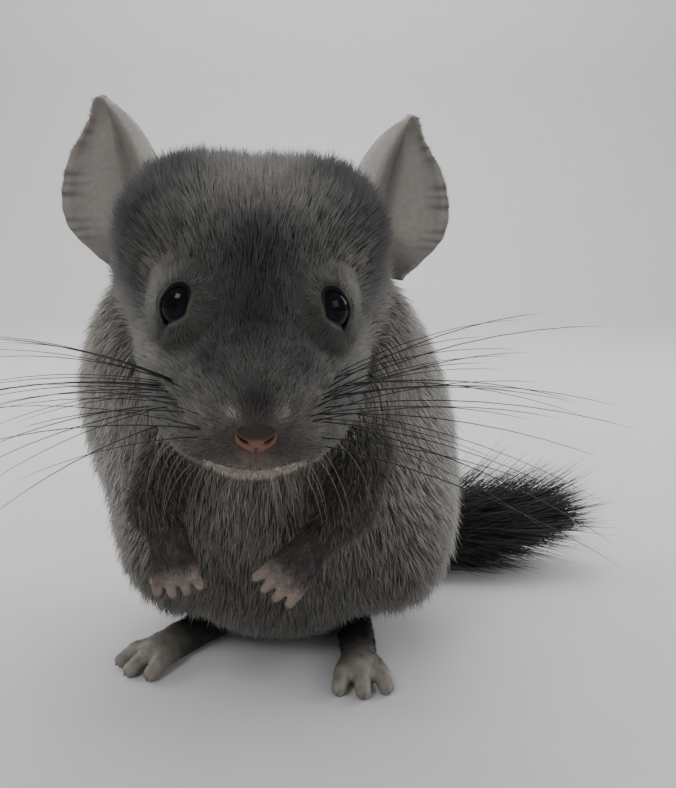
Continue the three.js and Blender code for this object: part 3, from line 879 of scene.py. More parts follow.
@dataclass
class Hide(Furred):
    """The skin of head, body and legs in one, and the fur that grows on it."""

    step: float = 1.6
    low: tuple = (-68.0, -108.0, -2.0)
    high: tuple = (66.0, 62.0, 168.0)
    face_tufts: int = 100000
    body_tufts: int = 58000
    under_tufts: int = 50000
    bare_eye: float = 6.0
    seed: int = 21

    def weight(self, p: Array) -> Array:
        """How dense the fur is, for its kind: on the face denser where it is shorter, and on the
        body least dense on the back and underneath."""
        face = self.rule.shares(p)[:, 0]
        from_nose = np.linalg.norm(p - self.form.head.place(self.form.nose_at), axis=1)
        short = 1.0 + 1.3 * (1.0 - smooth(from_nose, 10, 50))
        body = mix(1.0, 0.7, smooth(p[:, 1], 0, 40)) * mix(0.4, 1.0, smooth(p[:, 2], 1, 14))
        return mix(body, short, face)

    def bare(self, p: Array) -> Array:
        """Where nothing grows: the eyes, the nose pad and the flat underneath."""
        out = p[:, 2] < 0.8
        for side in Side:
            way = self.form.eye_way(side)
            d = p - self.form.eye(side)
            across = np.linalg.norm(d - (d @ way)[:, None] * way, axis=1)
            out |= (across < self.bare_eye) & (np.linalg.norm(d, axis=1) < 2.0 * self.bare_eye)
        nose = self.form.head.ball(self.form.nose_at, tuple(h + 0.5 for h in self.form.nose_half))
        return out | (nose(p) < 0.0)

    def build(self) -> None:
        """Makes the skin and its coat."""
        form, rule = self.form, self.rule

        def field_above_ground(p: Array) -> Array:
            """The skin's field, cut off flat a little above the ground."""
            return np.maximum(rule.skin(p), SKIN_FLOOR - p[:, 2])

        points, quads = surface_net(field_above_ground, np.array(self.low), np.array(self.high), self.step)
        keep_above(points, SKIN_FLOOR)
        skin = put_mesh("hide", points, quads, self.finishes.down, rule.colour(points) * 0.55)
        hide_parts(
            "torso", "neck", "head", "lower_jaw", "haunch_left", "haunch_right",
            "foreleg_left", "foreleg_right")
        log.info("hide: %d quads", len(quads))
        round_head = form.head.unwrap
        round_trunk = (np.array([1.0, 2.0, 64.0]), UP, np.array([0.0, 1.0, 0.0]))
        for name, on_face, count, bent, share_long, (middle, pole, start) in (
            ("face_fur", True, self.face_tufts, False, 1.0, round_head),
            ("under_fur", False, self.under_tufts, False, 0.72, round_trunk),
            ("body_fur", False, self.body_tufts, True, 1.04, round_trunk),
        ):
            def weight(p: Array) -> Array:
                """The density where this kind of fur grows, and none elsewhere."""
                share = rule.shares(p)[:, 0]
                here = smooth(share, 0.25, 0.75) if on_face else 1.0 - smooth(share, 0.45, 0.95)
                return self.weight(p) * here * ~self.bare(p)

            coat = Coat(rule, self.finishes.fur, bent=bent, sink=0.2 if on_face else 0.4)
            p, _ = coat.roots(points, quads, count, self.seed + len(name), weight)
            p = p[~self.bare(p)]
            n = unit(gradient(rule.skin, p))
            angle = np.arctan2(p[:, 0] - middle[0], -(p[:, 1] - middle[1]))
            order = np.argsort(np.round(angle, 1) * 1000 + p[:, 2])
            p, n = p[order], n[order]
            long = rule.length(p) * share_long
            width = np.clip(0.15 + 0.032 * long, 0.2, 0.42)
            coat.grow(
                name, p, n, rule.lie(p, n), long, rule.lean(p), width, rule.colour(p),
                round_places(p, middle, pole, start), self.seed + 10)
            log.info("%s: %d tufts", name, len(p))


@dataclass
class Eye(Furred):
    """An eyeball with its dark iris, and the lid round it."""

    side: Side
    opening_height: float = 4.8
    opening_width: float = 3.0
    opening_shift: float = 1.2
    around: int = 72
    rows_over: int = 14
    rows_under: int = 8
    tufts: int = 8000
    seed: int = 44

    def axes(self) -> tuple[Array, Array, Array]:
        """To the front corner, up and out of the eye."""
        out = self.form.eye_way(self.side)
        up = flat_to(self.form.head.way((0.0, -0.15, 1.0)), out)
        return np.cross(up, out) * -self.side.value, up, out

    def build(self) -> None:
        """Makes the ball, and then the lid."""
        forward, up, out = self.axes()
        middle = self.form.eye(self.side)
        points, faces, polar = ball_mesh(56, 40)
        radius = self.form.eye_radius
        world = middle + radius * (points @ np.stack([np.cross(up, out), up, out]))
        iris = smooth(polar, 0.42, 0.5)[:, None]
        edge = smooth(polar, 0.62, 0.85)[:, None]
        colour = mix(tint("010102"), tint("070a14"), iris)
        colour = mix(colour, tint("050508"), edge)
        eye = put_mesh("eyeball_" + self.side.word, world, faces, self.finishes.eye, colour)
        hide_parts("eye_" + self.side.word)
        self.lid(middle, forward, up, out, radius)

    def lid(self, middle: Array, forward: Array, up: Array, out: Array, radius: float) -> None:
        """The lid: a closed band from the opening on the ball out to the skin and back under.

        The opening is a drop: its height is h sin a, and its width w cos a times a share that
        falls from one at the middle to about a third at the bottom, where the drop also moves
        back. The whole of it is shifted towards the nose. The upper face is a curve of second
        degree from that edge towards a raised point and on to the skin, and the lower face runs
        back about a millimetre beneath.

        Args:
            middle: the eye's middle.
            forward: the direction to the front corner.
            up: the direction to the upper lid.
            out: the looking direction.
            radius: the ball's.
        """
        turn = np.linspace(0.0, 2.0 * math.pi, self.around, endpoint=False)
        z = self.opening_height * np.sin(turn)
        down = smooth(-np.sin(turn), 0.0, 1.0)
        x = self.opening_width * np.cos(turn) * mix(1.0, 0.35, down) - 1.2 * down + self.opening_shift
        flat = x[:, None] * forward + z[:, None] * up
        way = unit(flat)
        edge = radius + 0.1
        inner = middle + flat + np.sqrt(edge**2 - x**2 - z**2)[:, None] * out
        skirt = middle + way * 9.6 + out * 2.5
        skirt = settle(lambda p: self.rule.skin(p) - 0.45 * self.rule.depth(p), skirt)
        crest = inner + out * 0.3 + way * 1.9

        def upper(b: float) -> Array:
            """The upper face at share b of the way from the opening to the skin."""
            return inner * (1 - b) ** 2 + crest * 2 * b * (1 - b) + skirt * b * b

        shares = np.concatenate([np.linspace(0, 1, self.rows_over), np.linspace(1, 0, self.rows_under)])
        over, under = shares[:self.rows_over], shares[self.rows_over:]
        rows = np.stack(
            [upper(b) for b in over]
            + [upper(b) - out * (0.6 + 0.8 * b) + way * 0.35 * (1 - b) for b in under])
        count = len(turn)
        j = np.arange(count)
        k = (j + 1) % count
        last = (len(rows) - 1) * count
        closing = np.stack([last + j, last + k, k, j], 1)
        points = rows.reshape(-1, 3)
        faces = outward(points, np.concatenate([grid_faces(len(rows), count), closing]))
        rim = mix(0.17, 0.36, smooth(np.sin(turn), 0.3, 0.9))[None, :, None]
        fur = self.rule.colour(points).reshape(rows.shape) * 0.75
        colours = mix(tint("08080a"), fur, smooth(shares[:, None, None] - rim, -0.06, 0.1)).reshape(-1, 3)
        lid = put_mesh("lid_" + self.side.word, points, faces, self.finishes.lid, colours)
        self.lashes(rows[:self.rows_over], rim[0, :, 0], middle, out)

    def lashes(self, rows: Array, rim: Array, middle: Array, out: Array) -> None:
        """The short fur on the lid, leaning away from the opening."""
        count = rows.shape[1]
        points = rows.reshape(-1, 3)
        coat = Coat(self.rule, self.finishes.fur, bent=False, root_painted_shade=0.6, sink=0.12)
        root, normal = coat.roots(points, grid_faces(len(rows), count), self.tufts, self.seed)
        normal = normal * np.sign((normal @ out).mean())
        near = np.argmin(np.linalg.norm(root[:, None] - points[None], axis=2), axis=1)
        along = near // count / (len(rows) - 1)
        keep = along > rim[near % count] + 0.02
        root, normal, along = root[keep], normal[keep], along[keep]
        away = root - middle
        lie = flat_to(away - (away @ out)[:, None] * out, normal)
        coat.grow(
            "lid_fur_" + self.side.word, root, normal, lie, mix(1.2, 4.4, along), 1.12, 0.22,
            self.rule.colour(root) * 1.12, round_places(root, *self.form.head.unwrap), self.seed + 1)


@dataclass
class Nose:
    """The bare pad with its two nostrils and the groove below them."""

    form: Form
    finishes: Finishes

    def build(self) -> None:
        """Makes the pad: a ball whose front is pressed in at the nostrils, which slant up and
        out, and at the groove, and swells over the nostrils."""
        points, faces, _ = ball_mesh(128, 88)
        local = np.stack([points[:, 0], points[:, 2], -points[:, 1]], 1) * np.array(self.form.nose_half)
        front = smooth(local[:, 1], 0.4, 2.2)
        x, z = np.abs(local[:, 0]) - 3.0, local[:, 2] - 0.8
        a, b = 0.88 * x + 0.47 * z, 0.88 * z - 0.47 * x
        hole = np.exp(-((a / 1.3) ** 2) - (b / 0.62) ** 2) * front
        wing = np.exp(-(((x + 0.2) / 1.9) ** 2) - ((z - 1.5) / 0.9) ** 2) * front
        groove = np.exp(-((local[:, 0] / 0.42) ** 2)) * front * smooth(-local[:, 2], -0.2, 1.4)
        pinch = 0.42 * smooth(-local[:, 2], 0.6, 4.6)
        push = 0.55 * wing - 2.2 * hole - 0.6 * groove
        local = local * np.stack([1.0 - pinch, np.ones(len(z)), np.ones(len(z))], 1)
        local = local + np.array([0.0, 1.0, 0.0]) * push[:, None]
        colour = mix(tint("7b594c"), tint("352a28"), smooth(local[:, 2], 1.0, 3.0)[:, None])
        colour = mix(colour, tint("86695b"), smooth(-local[:, 2], 1.5, 4.5)[:, None])
        # Nostrils: painted shade in the hollows, near black.
        colour = mix(colour, tint("160c0a"), smooth(hole, 0.08, 0.5)[:, None])
        # Groove: painted shade along the crease below the nostrils.
        colour = mix(colour, tint("5d4740"), 0.6 * groove[:, None])
        world = self.form.head.place(local + np.array(self.form.nose_at))
        pad = put_mesh("nose_pad", world, outward(world, faces), self.finishes.nose, colour)
        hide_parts("nose")


@dataclass
class Mouth(Furred):
    """The pale edge of the upper lip and the soft lip below it, coloured dark as painted shade of the mouth
    line between them.
    """

    stops: int = 60
    sides: int = 16
    tufts: int = 1500
    seed: int = 71

    def band(self, name: str, drop: float, radius: float, shade: str, reach: float) -> None:
        """A closed band along the arc of the mouth: z rises with the square of the way out.

        Args:
            name: the piece's name.
            drop: how far below the mouth's line it lies.
            radius: half the band's thickness at the middle.
            shade: its colour.
            reach: its half length along x.
        """
        t = np.linspace(-1.0, 1.0, self.stops)
        arc = np.stack([reach * t, 46.4 - 2.4 * t**2, -13.7 - drop + 2.2 * t**2], 1)
        line = settle(lambda p: self.form.whole(p) + 0.2, self.form.head.place(arc))
        along = unit(np.gradient(line, axis=0))
        out = flat_to(self.form.head.way((0, 1, -0.35)), along)
        high = np.cross(along, out)
        thick = radius * np.maximum(1.0 - t**2, 0.03) ** 0.8
        points, faces = tube(line, out, high, thick, self.sides, flat=0.9)
        colour = tint(shade) * (1.0 + 0.14 * ripple(points, 1.6, 19)[:, None])
        lip = put_mesh(name, points, faces, self.finishes.nose, colour)
        coat = Coat(self.rule, self.finishes.fur, bent=False, sink=0.1, root_painted_shade=0.8, tip_shade=1.15)
        root, normal = coat.roots(points, faces, self.tufts, self.seed)
        lie = flat_to(self.form.head.way((0, 0.5, -1.0)) + 0.5 * normal, normal)
        pale = np.broadcast_to(tint(shade) * 1.1, root.shape)
        coat.grow(
            name + "_down", root, normal, lie, 2.3, 1.0, 0.17, pale,
            round_places(root, *self.form.head.unwrap), self.seed + 1)

    def build(self) -> None:
        """Makes both lips."""
        self.band("upper_lip", -0.2, 0.95, "b9aea2", 11.5)
        # The lower lip's dark colour is painted shade of the mouth line.
        self.band("lower_lip", 2.4, 1.4, "46403a", 10.5)


@dataclass
class Ear(Furred):
    """A thin cupped leaf: its width follows a share of the half width from root to tip."""

    side: Side
    thickness: float = 1.1
    rows: int = 96
    columns: int = 61
    hairs: int = 5200
    seed: int = 50
    outer: tuple = (0.35, 0.67, 0.95, 1.0, 0.89, 0.66, 0.27, 0.05)
    inner: tuple = (0.4, 0.7, 0.92, 1.0, 0.95, 0.8, 0.52, 0.05)

    @property
    def root(self) -> tuple[float, float, float]:
        """Where the ear stands, in the head's frame."""
        return (37.6, -19.0, -8.6) if self.side is Side.LEFT else (-32.6, -19.0, -7.6)

    @property
    def sizes(self) -> tuple[float, float, float, float]:
        """The lean to the side, the height, and the widths of the outer and inner halves."""
        return (0.17, 46.0, 17.5, 15.3) if self.side is Side.LEFT else (0.15, 46.5, 20.5, 15.3)

    @staticmethod
    def share(table: tuple, v: Array) -> Array:
        """A smooth curve of third degree through evenly spaced values."""
        values = np.array(table)
        s = np.clip(v, 0.0, 0.9999) * (len(values) - 1)
        i = np.floor(s).astype(int)
        a, b, c, d = (values[np.clip(i + k, 0, len(values) - 1)] for k in (-1, 0, 1, 2))
        t = s - i
        return 0.5 * (
            2 * b + (c - a) * t + (2 * a - 5 * b + 4 * c - d) * t**2 + (3 * b - a - 3 * c + d) * t**3)

    def frame_axes(self) -> tuple[Array, Array, Array, Array]:
        """The ear's root, and its directions up, to the outer edge and to the front."""
        s = self.side.value
        base = self.form.head.place(self.root)
        tall = unit(np.array([s * self.sizes[0], -0.05, 0.98]))
        front = flat_to(np.array([s * 0.5, -1.0, 0.1]), tall)
        wide = np.cross(tall, front)
        return base, tall, wide * (1.0 if wide[0] * s > 0 else -1.0), front

    def sheet(self, u: Array, v: Array) -> Array:
        """The middle of the ear's wall.

        Args:
            u: from the inner edge, -1, to the outer edge, 1.
            v: from the root, 0, to the tip, 1.
        Returns:
            Points: up by v, across by u times the share, and back by the cup, which is deepest
            near the fold and has a low ridge along it.
        """
        base, tall, wide, front = self.frame_axes()
        _, height, outer, inner = self.sizes
        across = u * np.where(u > 0, outer * self.share(self.outer, v), inner * self.share(self.inner, v))
        cup = 9.5 * np.sin(np.pi * np.minimum(1.0, 0.15 + v * 0.85)) ** 0.8
        hollow = cup * (1.0 - np.minimum(1.0, np.abs(u + 0.15)) ** 1.4)
        line = 0.12 - 0.3 * (v - 0.45) ** 2
        tall_part = smooth(v, 0.12, 0.3) * (1 - smooth(v, 0.7, 0.95))
        ridge = 1.9 * smooth(u, line - 0.09, line) * (1 - smooth(u, line, line + 0.75)) * tall_part
        frill = 0.16 * np.sin(60.0 * v + 2.0 * u) * smooth(u, 0.5, 1.0)
        roll = 1.4 * smooth(-u, 0.72, 1.0) ** 2 * smooth(v, 0.2, 0.5)
        return (
            base + tall * (v * height)[..., None] + wide * across[..., None]
            + front * (ridge + frill + roll - hollow)[..., None])

    def colour(self, u: Array, v: Array, back: bool) -> Array:
        """Pale inside the cup, partly as painted glow of light through the ear, darker on the outer rim and
        on the back, with painted shadow beside the fold and fine streaks that run in from the outer rim."""
        c = np.broadcast_to(tint("938d87"), u.shape + (3,))
        # Inner half: pale skin, partly painted glow of light shining through the ear from behind.
        c = mix(c, tint("cdc7bf"), (smooth(-u, 0.05, 0.5))[..., None])
        c = mix(c, tint("e2deda"), (smooth(-u, 0.55, 1.0) * smooth(v, 0.2, 0.6))[..., None])
        # Beside the fold: painted shadow of the crease.
        fold = np.exp(-(((u + 0.04) / 0.13) ** 2)) * smooth(v, 0.1, 0.35) * (1 - smooth(v, 0.7, 0.95))
        c = mix(c, tint("857e78"), 0.45 * fold[..., None])
        streak = 0.5 + 0.5 * np.sin(70.0 * v - 6.0 * u + 2.5 * np.sin(23.0 * v))
        rim = smooth(u, 0.45, 1.0) * (0.35 + 0.65 * streak**2)
        c = mix(c, tint("45403e"), (0.8 * rim)[..., None])
        c = mix(c, tint("6d6661"), (1 - smooth(v, 0.05, 0.35))[..., None] * 0.7)
        return mix(c, tint("5e5956"), 0.65) if back else c

    def build(self) -> None:
        """Makes the ear as a closed sheet, and the fuzz on its rim and back."""
        even = np.linspace(-1, 1, self.columns)
        spread = mix(np.sin(even * np.pi / 2), even, 0.5)
        v, u = np.meshgrid(np.linspace(0.0, 0.985, self.rows), spread, indexing="ij")
        normal = self.facing(*self.slopes(u, v, 0.01))
        half = (self.thickness / 2.0) * mix(1.4, 0.55, v) * (1.0 - 0.6 * np.abs(u) ** 6)
        middle = self.sheet(u, v)
        faces_in, faces_out = middle + normal * half[..., None], middle - normal * half[..., None]
        loop = np.concatenate([faces_in, faces_out[:, ::-1]], axis=1)
        count = loop.shape[1]
        quads = np.concatenate([grid_faces(self.rows, count), end_caps(self.rows, count)[:, ::-1]])
        points = loop.reshape(-1, 3)
        colours = np.concatenate([self.colour(u, v, False), self.colour(u, v, True)[:, ::-1]], axis=1)
        ear = put_mesh(
            "ear_leaf_" + self.side.word, points, outward(points, quads), self.finishes.ear,
            colours.reshape(-1, 3))
        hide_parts("ear_" + self.side.word)
        self.fuzz()

    def slopes(self, u: Array, v: Array, step: float) -> tuple[Array, Array]:
        """How the sheet runs from a step before to a step after, across it and up it."""
        du = self.sheet(np.minimum(u + step, 1.0), v) - self.sheet(np.maximum(u - step, -1.0), v)
        return du, self.sheet(u, v + step) - self.sheet(u, v - step)

    def facing(self, du: Array, dv: Array) -> Array:
        """The normals across both slopes, on the hollow side."""
        normal = unit(np.cross(du, dv))
        return normal * np.sign((normal @ self.frame_axes()[3]).mean())

    def fuzz(self) -> None:
        """Short hairs: most near the rim, lying outwards over it, and a nap on the back."""
        draw = np.random.default_rng(self.seed + self.side.value)
        count = self.hairs
        back = draw.random(count) < 0.55
        anywhere = draw.uniform(-1, 1, count)
        near_rim = np.sign(draw.random(count) - 0.35) * (1 - draw.random(count) ** 1.7 * 0.75)
        u = np.where(back, anywhere, near_rim)
        v = draw.uniform(0.04, 0.97, count)
        du, dv = (unit(d) for d in self.slopes(u, v, 0.02))
        n = self.facing(du, dv)
        n = np.where(back[:, None], -n, n)
        lie = flat_to(du * np.sign(u)[:, None] * 1.1 + dv * 0.7, n)
        root = self.sheet(u, v) + n * self.thickness * 0.3
        colour = np.where(back[:, None], tint("5a5654"), self.colour(u, v, False) * 0.85)
        length = mix(1.5, 1.1, smooth(np.abs(u), 0.8, 1.0)) * np.where(back, 1.2, 0.9)
        place = np.stack([u * 0.23 + np.where(back, 0.75, 0.25), v * 0.95 + 0.02], 1)
        Coat(self.rule, self.finishes.fur, root_painted_shade=0.7, bent=False).grow(
            "ear_fuzz_" + self.side.word, root, n, lie, length, 1.3, 0.16, colour, place, self.seed + 11)


@dataclass
class Whiskers(Furred):
    """The fan of stiff hairs from each whisker pad, and the pale soft ones under the lip."""

    side: Side
    count: int = 26
    beard_count: int = 26
    reach_left: float = 78.0
    reach_right: float = 68.0
    seed: int = 70

    def hairs(self, name: str, paths: Array, size: Array, sides: int, shade: str) -> bpy.types.Object:
        """Round hairs of one colour along paths, as one piece."""
        points, faces = strands(paths, size, size, np.broadcast_to(UP, (len(paths), 3)), sides)
        return put_mesh(name + self.side.word, points, faces, self.finishes.whisker, tint(shade))

    def build(self) -> None:
        """Makes both kinds: each hair starts on the skin, runs out and sags with the square of
        the way along it."""
        draw = np.random.default_rng(self.seed + self.side.value)
        head, s = self.form.head, self.side.value
        n = self.count
        a, b = draw.uniform(0, 1, n), draw.uniform(0, 1, n)
        local = np.stack([s * (11 + 8 * a), 40 - 13 * a, -12 + 12 * b], 1)
        root = settle(self.rule.skin, head.place(local))
        lift = mix(-0.30, 0.62, b) + draw.normal(0, 0.05, n)
        way = unit(np.stack([np.full(n, s * 1.0), -0.12 + 0.14 * draw.normal(size=n), lift], 1))
        longest = self.reach_left if self.side is Side.LEFT else self.reach_right
        reach = longest * draw.uniform(0.55, 1.0, n)
        t = np.linspace(0.0, 1.0, 9)
        paths = (
            root[:, None] - way[:, None] * 0.8 + way[:, None] * (reach[:, None] * t)[..., None]
            + (np.array([0.0, 0.14, 0.0]) - UP * 0.24) * (reach[:, None] * t**2)[..., None])
        size = mix(0.34, 0.12, t[:-1])[None] * draw.uniform(0.7, 1.0, (n, 1))
        hairs = self.hairs("whisker_fan_", paths, size, 4, "0c0b0c")
        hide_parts("whiskers_" + self.side.word)
        self.beard(draw)

    def beard(self, draw: np.random.Generator) -> None:
        """Pale hairs from the edge of the lip: out a little, then down in an arc."""
        head, s, n = self.form.head, self.side.value, self.beard_count
        a = draw.uniform(0.05, 1.0, n)
        local = np.stack([s * 18 * a, 45 - 6 * a**2, -14 + 5 * a**2 + draw.normal(0, 1.5, n)], 1)
        root = settle(self.rule.skin, head.place(local))
        way = unit(np.stack([s * (0.15 + 0.9 * a), np.full(n, -0.75), -0.1 - 0.5 * draw.random(n)], 1))
        reach = draw.uniform(6, 25, n) * mix(0.55, 1.0, a)
        t = np.linspace(0.0, 1.0, 8)
        fall = np.array([0.0, 0.35, -1.0])
        paths = (
            root[:, None] - way[:, None] * 0.5
            + way[:, None] * (reach[:, None] * 0.6 * np.sin(t * 1.3))[..., None]
            + fall * (reach[:, None] * 0.75 * t**1.8)[..., None])
        size = mix(0.13, 0.05, t[:-1])[None] * np.ones((n, 1))
        hairs = self.hairs("lip_hairs_", paths, size, 3, "86827a")


@dataclass
class Paw(Furred):
    """A foot of bars run together: a sole or palm, its digits and their claws."""

    name: str
    node: str
    sole: Limb
    digits: tuple
    grid: float
    dark: Array
    pale: Array
    start: Array
    end: Array
    fur: float
    rest: bool
    floor: float = 0.1
    tufts: int = 6000
    seed: int = 80

    def field(self, p: Array) -> Array:
        """The foot's field, with creases where the digits meet, cut flat at the ground."""
        out = Blend(1.6, (self.sole, *self.digits))(p)
        return np.maximum(out, self.floor - p[:, 2]) if self.rest else out

    def tone(self, p: Array) -> Array:
        """Dark fur at the leg's end, pale skin at the digits, by the way along the foot."""
        way = self.end - self.start
        t = (p - self.start) @ way / (way @ way)
        c = mix(self.dark, self.pale, smooth(t, 0.55, 0.98)[:, None])
        return c * (1.0 + 0.16 * ripple(p, 3.0, 17)[:, None])

    def build(self) -> None:
        """Makes the skin, the short fur over it and the claws."""
        stops = np.concatenate([self.sole.stops, *(d.stops for d in self.digits)])
        points, quads = surface_net(self.field, stops.min(0) - 9.0, stops.max(0) + 9.0, self.grid)
        if self.rest:
            keep_above(points, self.floor)
        skin = put_mesh(self.name, points, quads, self.finishes.paw, self.tone(points) * 0.85)
        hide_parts(self.node)
        coat = Coat(self.rule, self.finishes.fur, root_painted_shade=0.6, bent=False, sink=0.15)
        seed = self.seed + len(self.name)
        root, _ = coat.roots(points, quads, self.tufts, seed)
        normal = unit(gradient(self.field, root))
        way = unit(self.end - self.start)
        t = (root - self.start) @ way / np.linalg.norm(self.end - self.start)
        keep = (normal[:, 2] > -0.35) | (not self.rest)
        root, normal, t = root[keep], normal[keep], t[keep]
        length = self.fur * mix(1.3, 0.45, smooth(t, 0.2, 1.1))
        lie = flat_to(np.broadcast_to(way, root.shape), normal)
        place = round_places(root, (self.start + self.end) / 2, way, flat_to(UP, way))
        coat.grow(
            self.name + "_fur", root, normal, lie, length, 1.32, 0.2, self.tone(root), place, seed + 1)
        self.claws()

    def claws(self) -> None:
        """Small curved claws: one tapering hook at each digit's tip."""
        tips = np.stack([d.stops[-1] for d in self.digits])
        ways = unit(tips - np.stack([d.stops[-2] for d in self.digits]))
        radius = np.array([d.radii[-1] for d in self.digits])[:, None]
        t = np.linspace(0.0, 1.0, 6)
        start = tips + ways * radius * 0.45 + UP * radius * 0.25
        paths = start[:, None] + ways[:, None] * (1.9 * t)[None, :, None] - UP * (0.9 * t**2)[None, :, None]
        if self.rest:
            keep_above(paths, 2.5 * self.floor)
        size = mix(1.15, 0.3, t[:-1])[None] * np.ones((len(tips), 1))
        points, faces = strands(paths, size * 0.8, size, unit(np.cross(ways, UP)), 8)
        claw = put_mesh(self.name + "_claws", points, faces, self.finishes.claw, tint("4a403a"))


def hind_foot(form: Form, rule: CoatRule, finishes: Finishes, side: Side) -> Paw:
    """The long flat hind foot with three toes that spread a little."""
    heel, arch, ball = form.feet[side]
    along = unit((ball - heel) * [1.0, 1.0, 0.0])
    across = np.cross(along, UP)
    digits = []
    for k in (-1, 0, 1):
        angle = math.radians(-k * 15)
        way = along * math.cos(angle) + np.cross(UP, along) * math.sin(angle)
        first = ball + across * k * 4.2 - along * 3
        last = first + way * (13 - abs(k) * 2)
        middle = mix(first, last, 0.55)
        middle[2], last[2] = 4.3, 2.3
        digits.append(Limb(np.stack([first, middle, last]), np.array([2.9, 2.7, 2.35])))
    sole = Limb(np.stack([heel, arch, ball]), np.array([5.4, 5.5, 5.4]))
    return Paw(
        form, rule, finishes, "hind_foot_skin_" + side.word, "hind_foot_" + side.word, sole, tuple(digits),
        0.7, tint("262423"), tint("8b857c"), heel, ball + along * 8, 2.6, True)


def forepaw(form: Form, rule: CoatRule, finishes: Finishes, side: Side) -> Paw:
    """The small forepaw with four short fingers."""
    arm = form.arms[side]
    wrist, end = arm[2], arm[3]
    along = unit(end - wrist)
    across = flat_to(np.array([1.0, 0.0, 0.0]), along)
    digits = []
    for k in (-1.5, -0.5, 0.5, 1.5):
        first = end + across * k * 3.1
        way = unit(along + across * k * 0.12 + np.array([0.0, 0.25, 0.0]))
        last = first + way * (8.2 - abs(k))
        knuckle = mix(first, last, 0.45) - np.array([0.0, 0.7, 0.0])
        digits.append(Limb(np.stack([first, knuckle, last]), np.array([1.7, 1.65, 1.25])))
    palm_sides = [
        Limb(np.stack([wrist, end + across * k]), np.array([4.2, 3.3])) for k in (-2.8, 0.0, 2.8)]
    sole = palm_sides[1]
    return Paw(
        form, rule, finishes, "forepaw_skin_" + side.word, "forepaw_" + side.word, sole,
        (palm_sides[0], palm_sides[2], *digits), 0.5, tint("4b4643"), tint("8c7d73"), wrist, end + along * 4,
        2.0, False)


@dataclass
class Tail(Furred):
    """The tail: a slim core and long hairs that splay more and more to its end."""

    stops: tuple = ((8, 44, 22), (36, 60, 15), (68, 63, 15), (98, 62, 20))
    rings: int = 40
    sides: int = 24
    hairs: int = 6400
    seed: int = 91

    def curve(self, t: Array) -> tuple[Array, Array, Array, Array]:
        """The core's line as a cubic through its stops, and its directions along, up and across."""
        s = np.array(self.stops, float)
        chord = np.concatenate([[0.0], np.cumsum(np.linalg.norm(np.diff(s, axis=0), axis=1))])
        chord = chord / chord[-1]
        fit = [np.polyfit(chord, s[:, i], 3) for i in range(3)]
        p = np.stack([np.polyval(f, t) for f in fit], -1)
        d = np.stack([np.polyval(np.polyder(f), t) for f in fit], -1)
        along = unit(d)
        up = flat_to(np.broadcast_to(UP, along.shape), along)
        return p, along, up, np.cross(along, up)

    def build(self) -> None:
        """Makes the core and its long hairs."""
        t = np.linspace(0.0, 1.0, self.rings)
        line, _, up, across = self.curve(t)
        radius = np.interp(t, [0, 0.3, 0.7, 0.97, 1.0], [9.0, 7.4, 6.8, 3.2, 0.3])
        points, faces = tube(line, across, up, radius, self.sides)
        keep_above(points, SKIN_FLOOR)
        core = put_mesh("tail_core", points, faces, self.finishes.down, tint("1c1b1c"))
        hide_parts("tail_root", "tail_brush")
        self.brush()

    def brush(self) -> None:
        """Long hairs: each leaves the core, runs along it and bends outwards to its tip."""
        draw = np.random.default_rng(self.seed)
        n = self.hairs
        t = draw.uniform(0.03, 0.99, n) ** 0.85
        centre, along, up, across = self.curve(t)
        turn = draw.uniform(0, 2 * math.pi, n)
        out = np.cos(turn)[:, None] * across + np.sin(turn)[:, None] * up
        lift = 1.0 + 0.5 * np.maximum(0.0, np.sin(turn))
        long = (mix(26, 33, t) + draw.normal(0, 3.5, n)) * draw.uniform(0.7, 1.05, n)
        share = draw.uniform(0.15, 1.0, n) ** 0.8
        share = mix(share, 1.15 * share**2 - 0.03, smooth(t, 0.7, 1.0))
        splay = np.interp(t, [0.0, 0.62, 1.0], [1.0, 0.98, 0.5]) * lift * share
        root = centre + out * np.interp(t, [0, 0.3, 0.7, 1.0], [7.5, 6.2, 5.6, 1.8])[:, None]
        s = np.linspace(0, 1, 5)
        sideways = draw.normal(0, 0.09, (n, 3))
        paths = (
            root[:, None]
            + along[:, None] * (long[:, None] * s)[..., None]
            + out[:, None] * (long[:, None] * splay[:, None] * (0.85 * s - 0.22 * s**2))[..., None]
            + sideways[:, None] * (long[:, None] * s**2)[..., None])
        keep_above(paths, 0.5 + 0.5 * draw.random((n, 1)))
        width = draw.uniform(0.35, 0.65, (n, 1)) * np.array([1.0, 0.95, 0.75, 0.45])
        points, faces = strands(paths, width, width * 0.6, unit(np.cross(along, out)))
        tip = mix(tint("18171a"), tint("6b655e"), draw.random((n, 1)) ** 1.5)
        shade = np.repeat(np.array([0.35, 0.6, 0.8, 1.0]), 3).tolist() + [1.25]
        colours = (mix(tint("0e0e10"), tip, 0.75)[:, None] * np.array(shade)[:, None]).reshape(-1, 3)
        where = np.stack([turn / (2 * math.pi), t], 1) * 0.99 + 0.005
        patch = np.array([[a, r * 0.25] for r in range(4) for a in (0, 1, 0.5)] + [[0.5, 1.0]])
        places = (where[:, None] + patch * MAP_EDGE - MAP_EDGE / 2.0).reshape(-1, 2)
        made = put_mesh("tail_hair", points, faces, self.finishes.fur, colours, places)
        log.info("tail: %d hairs", n)


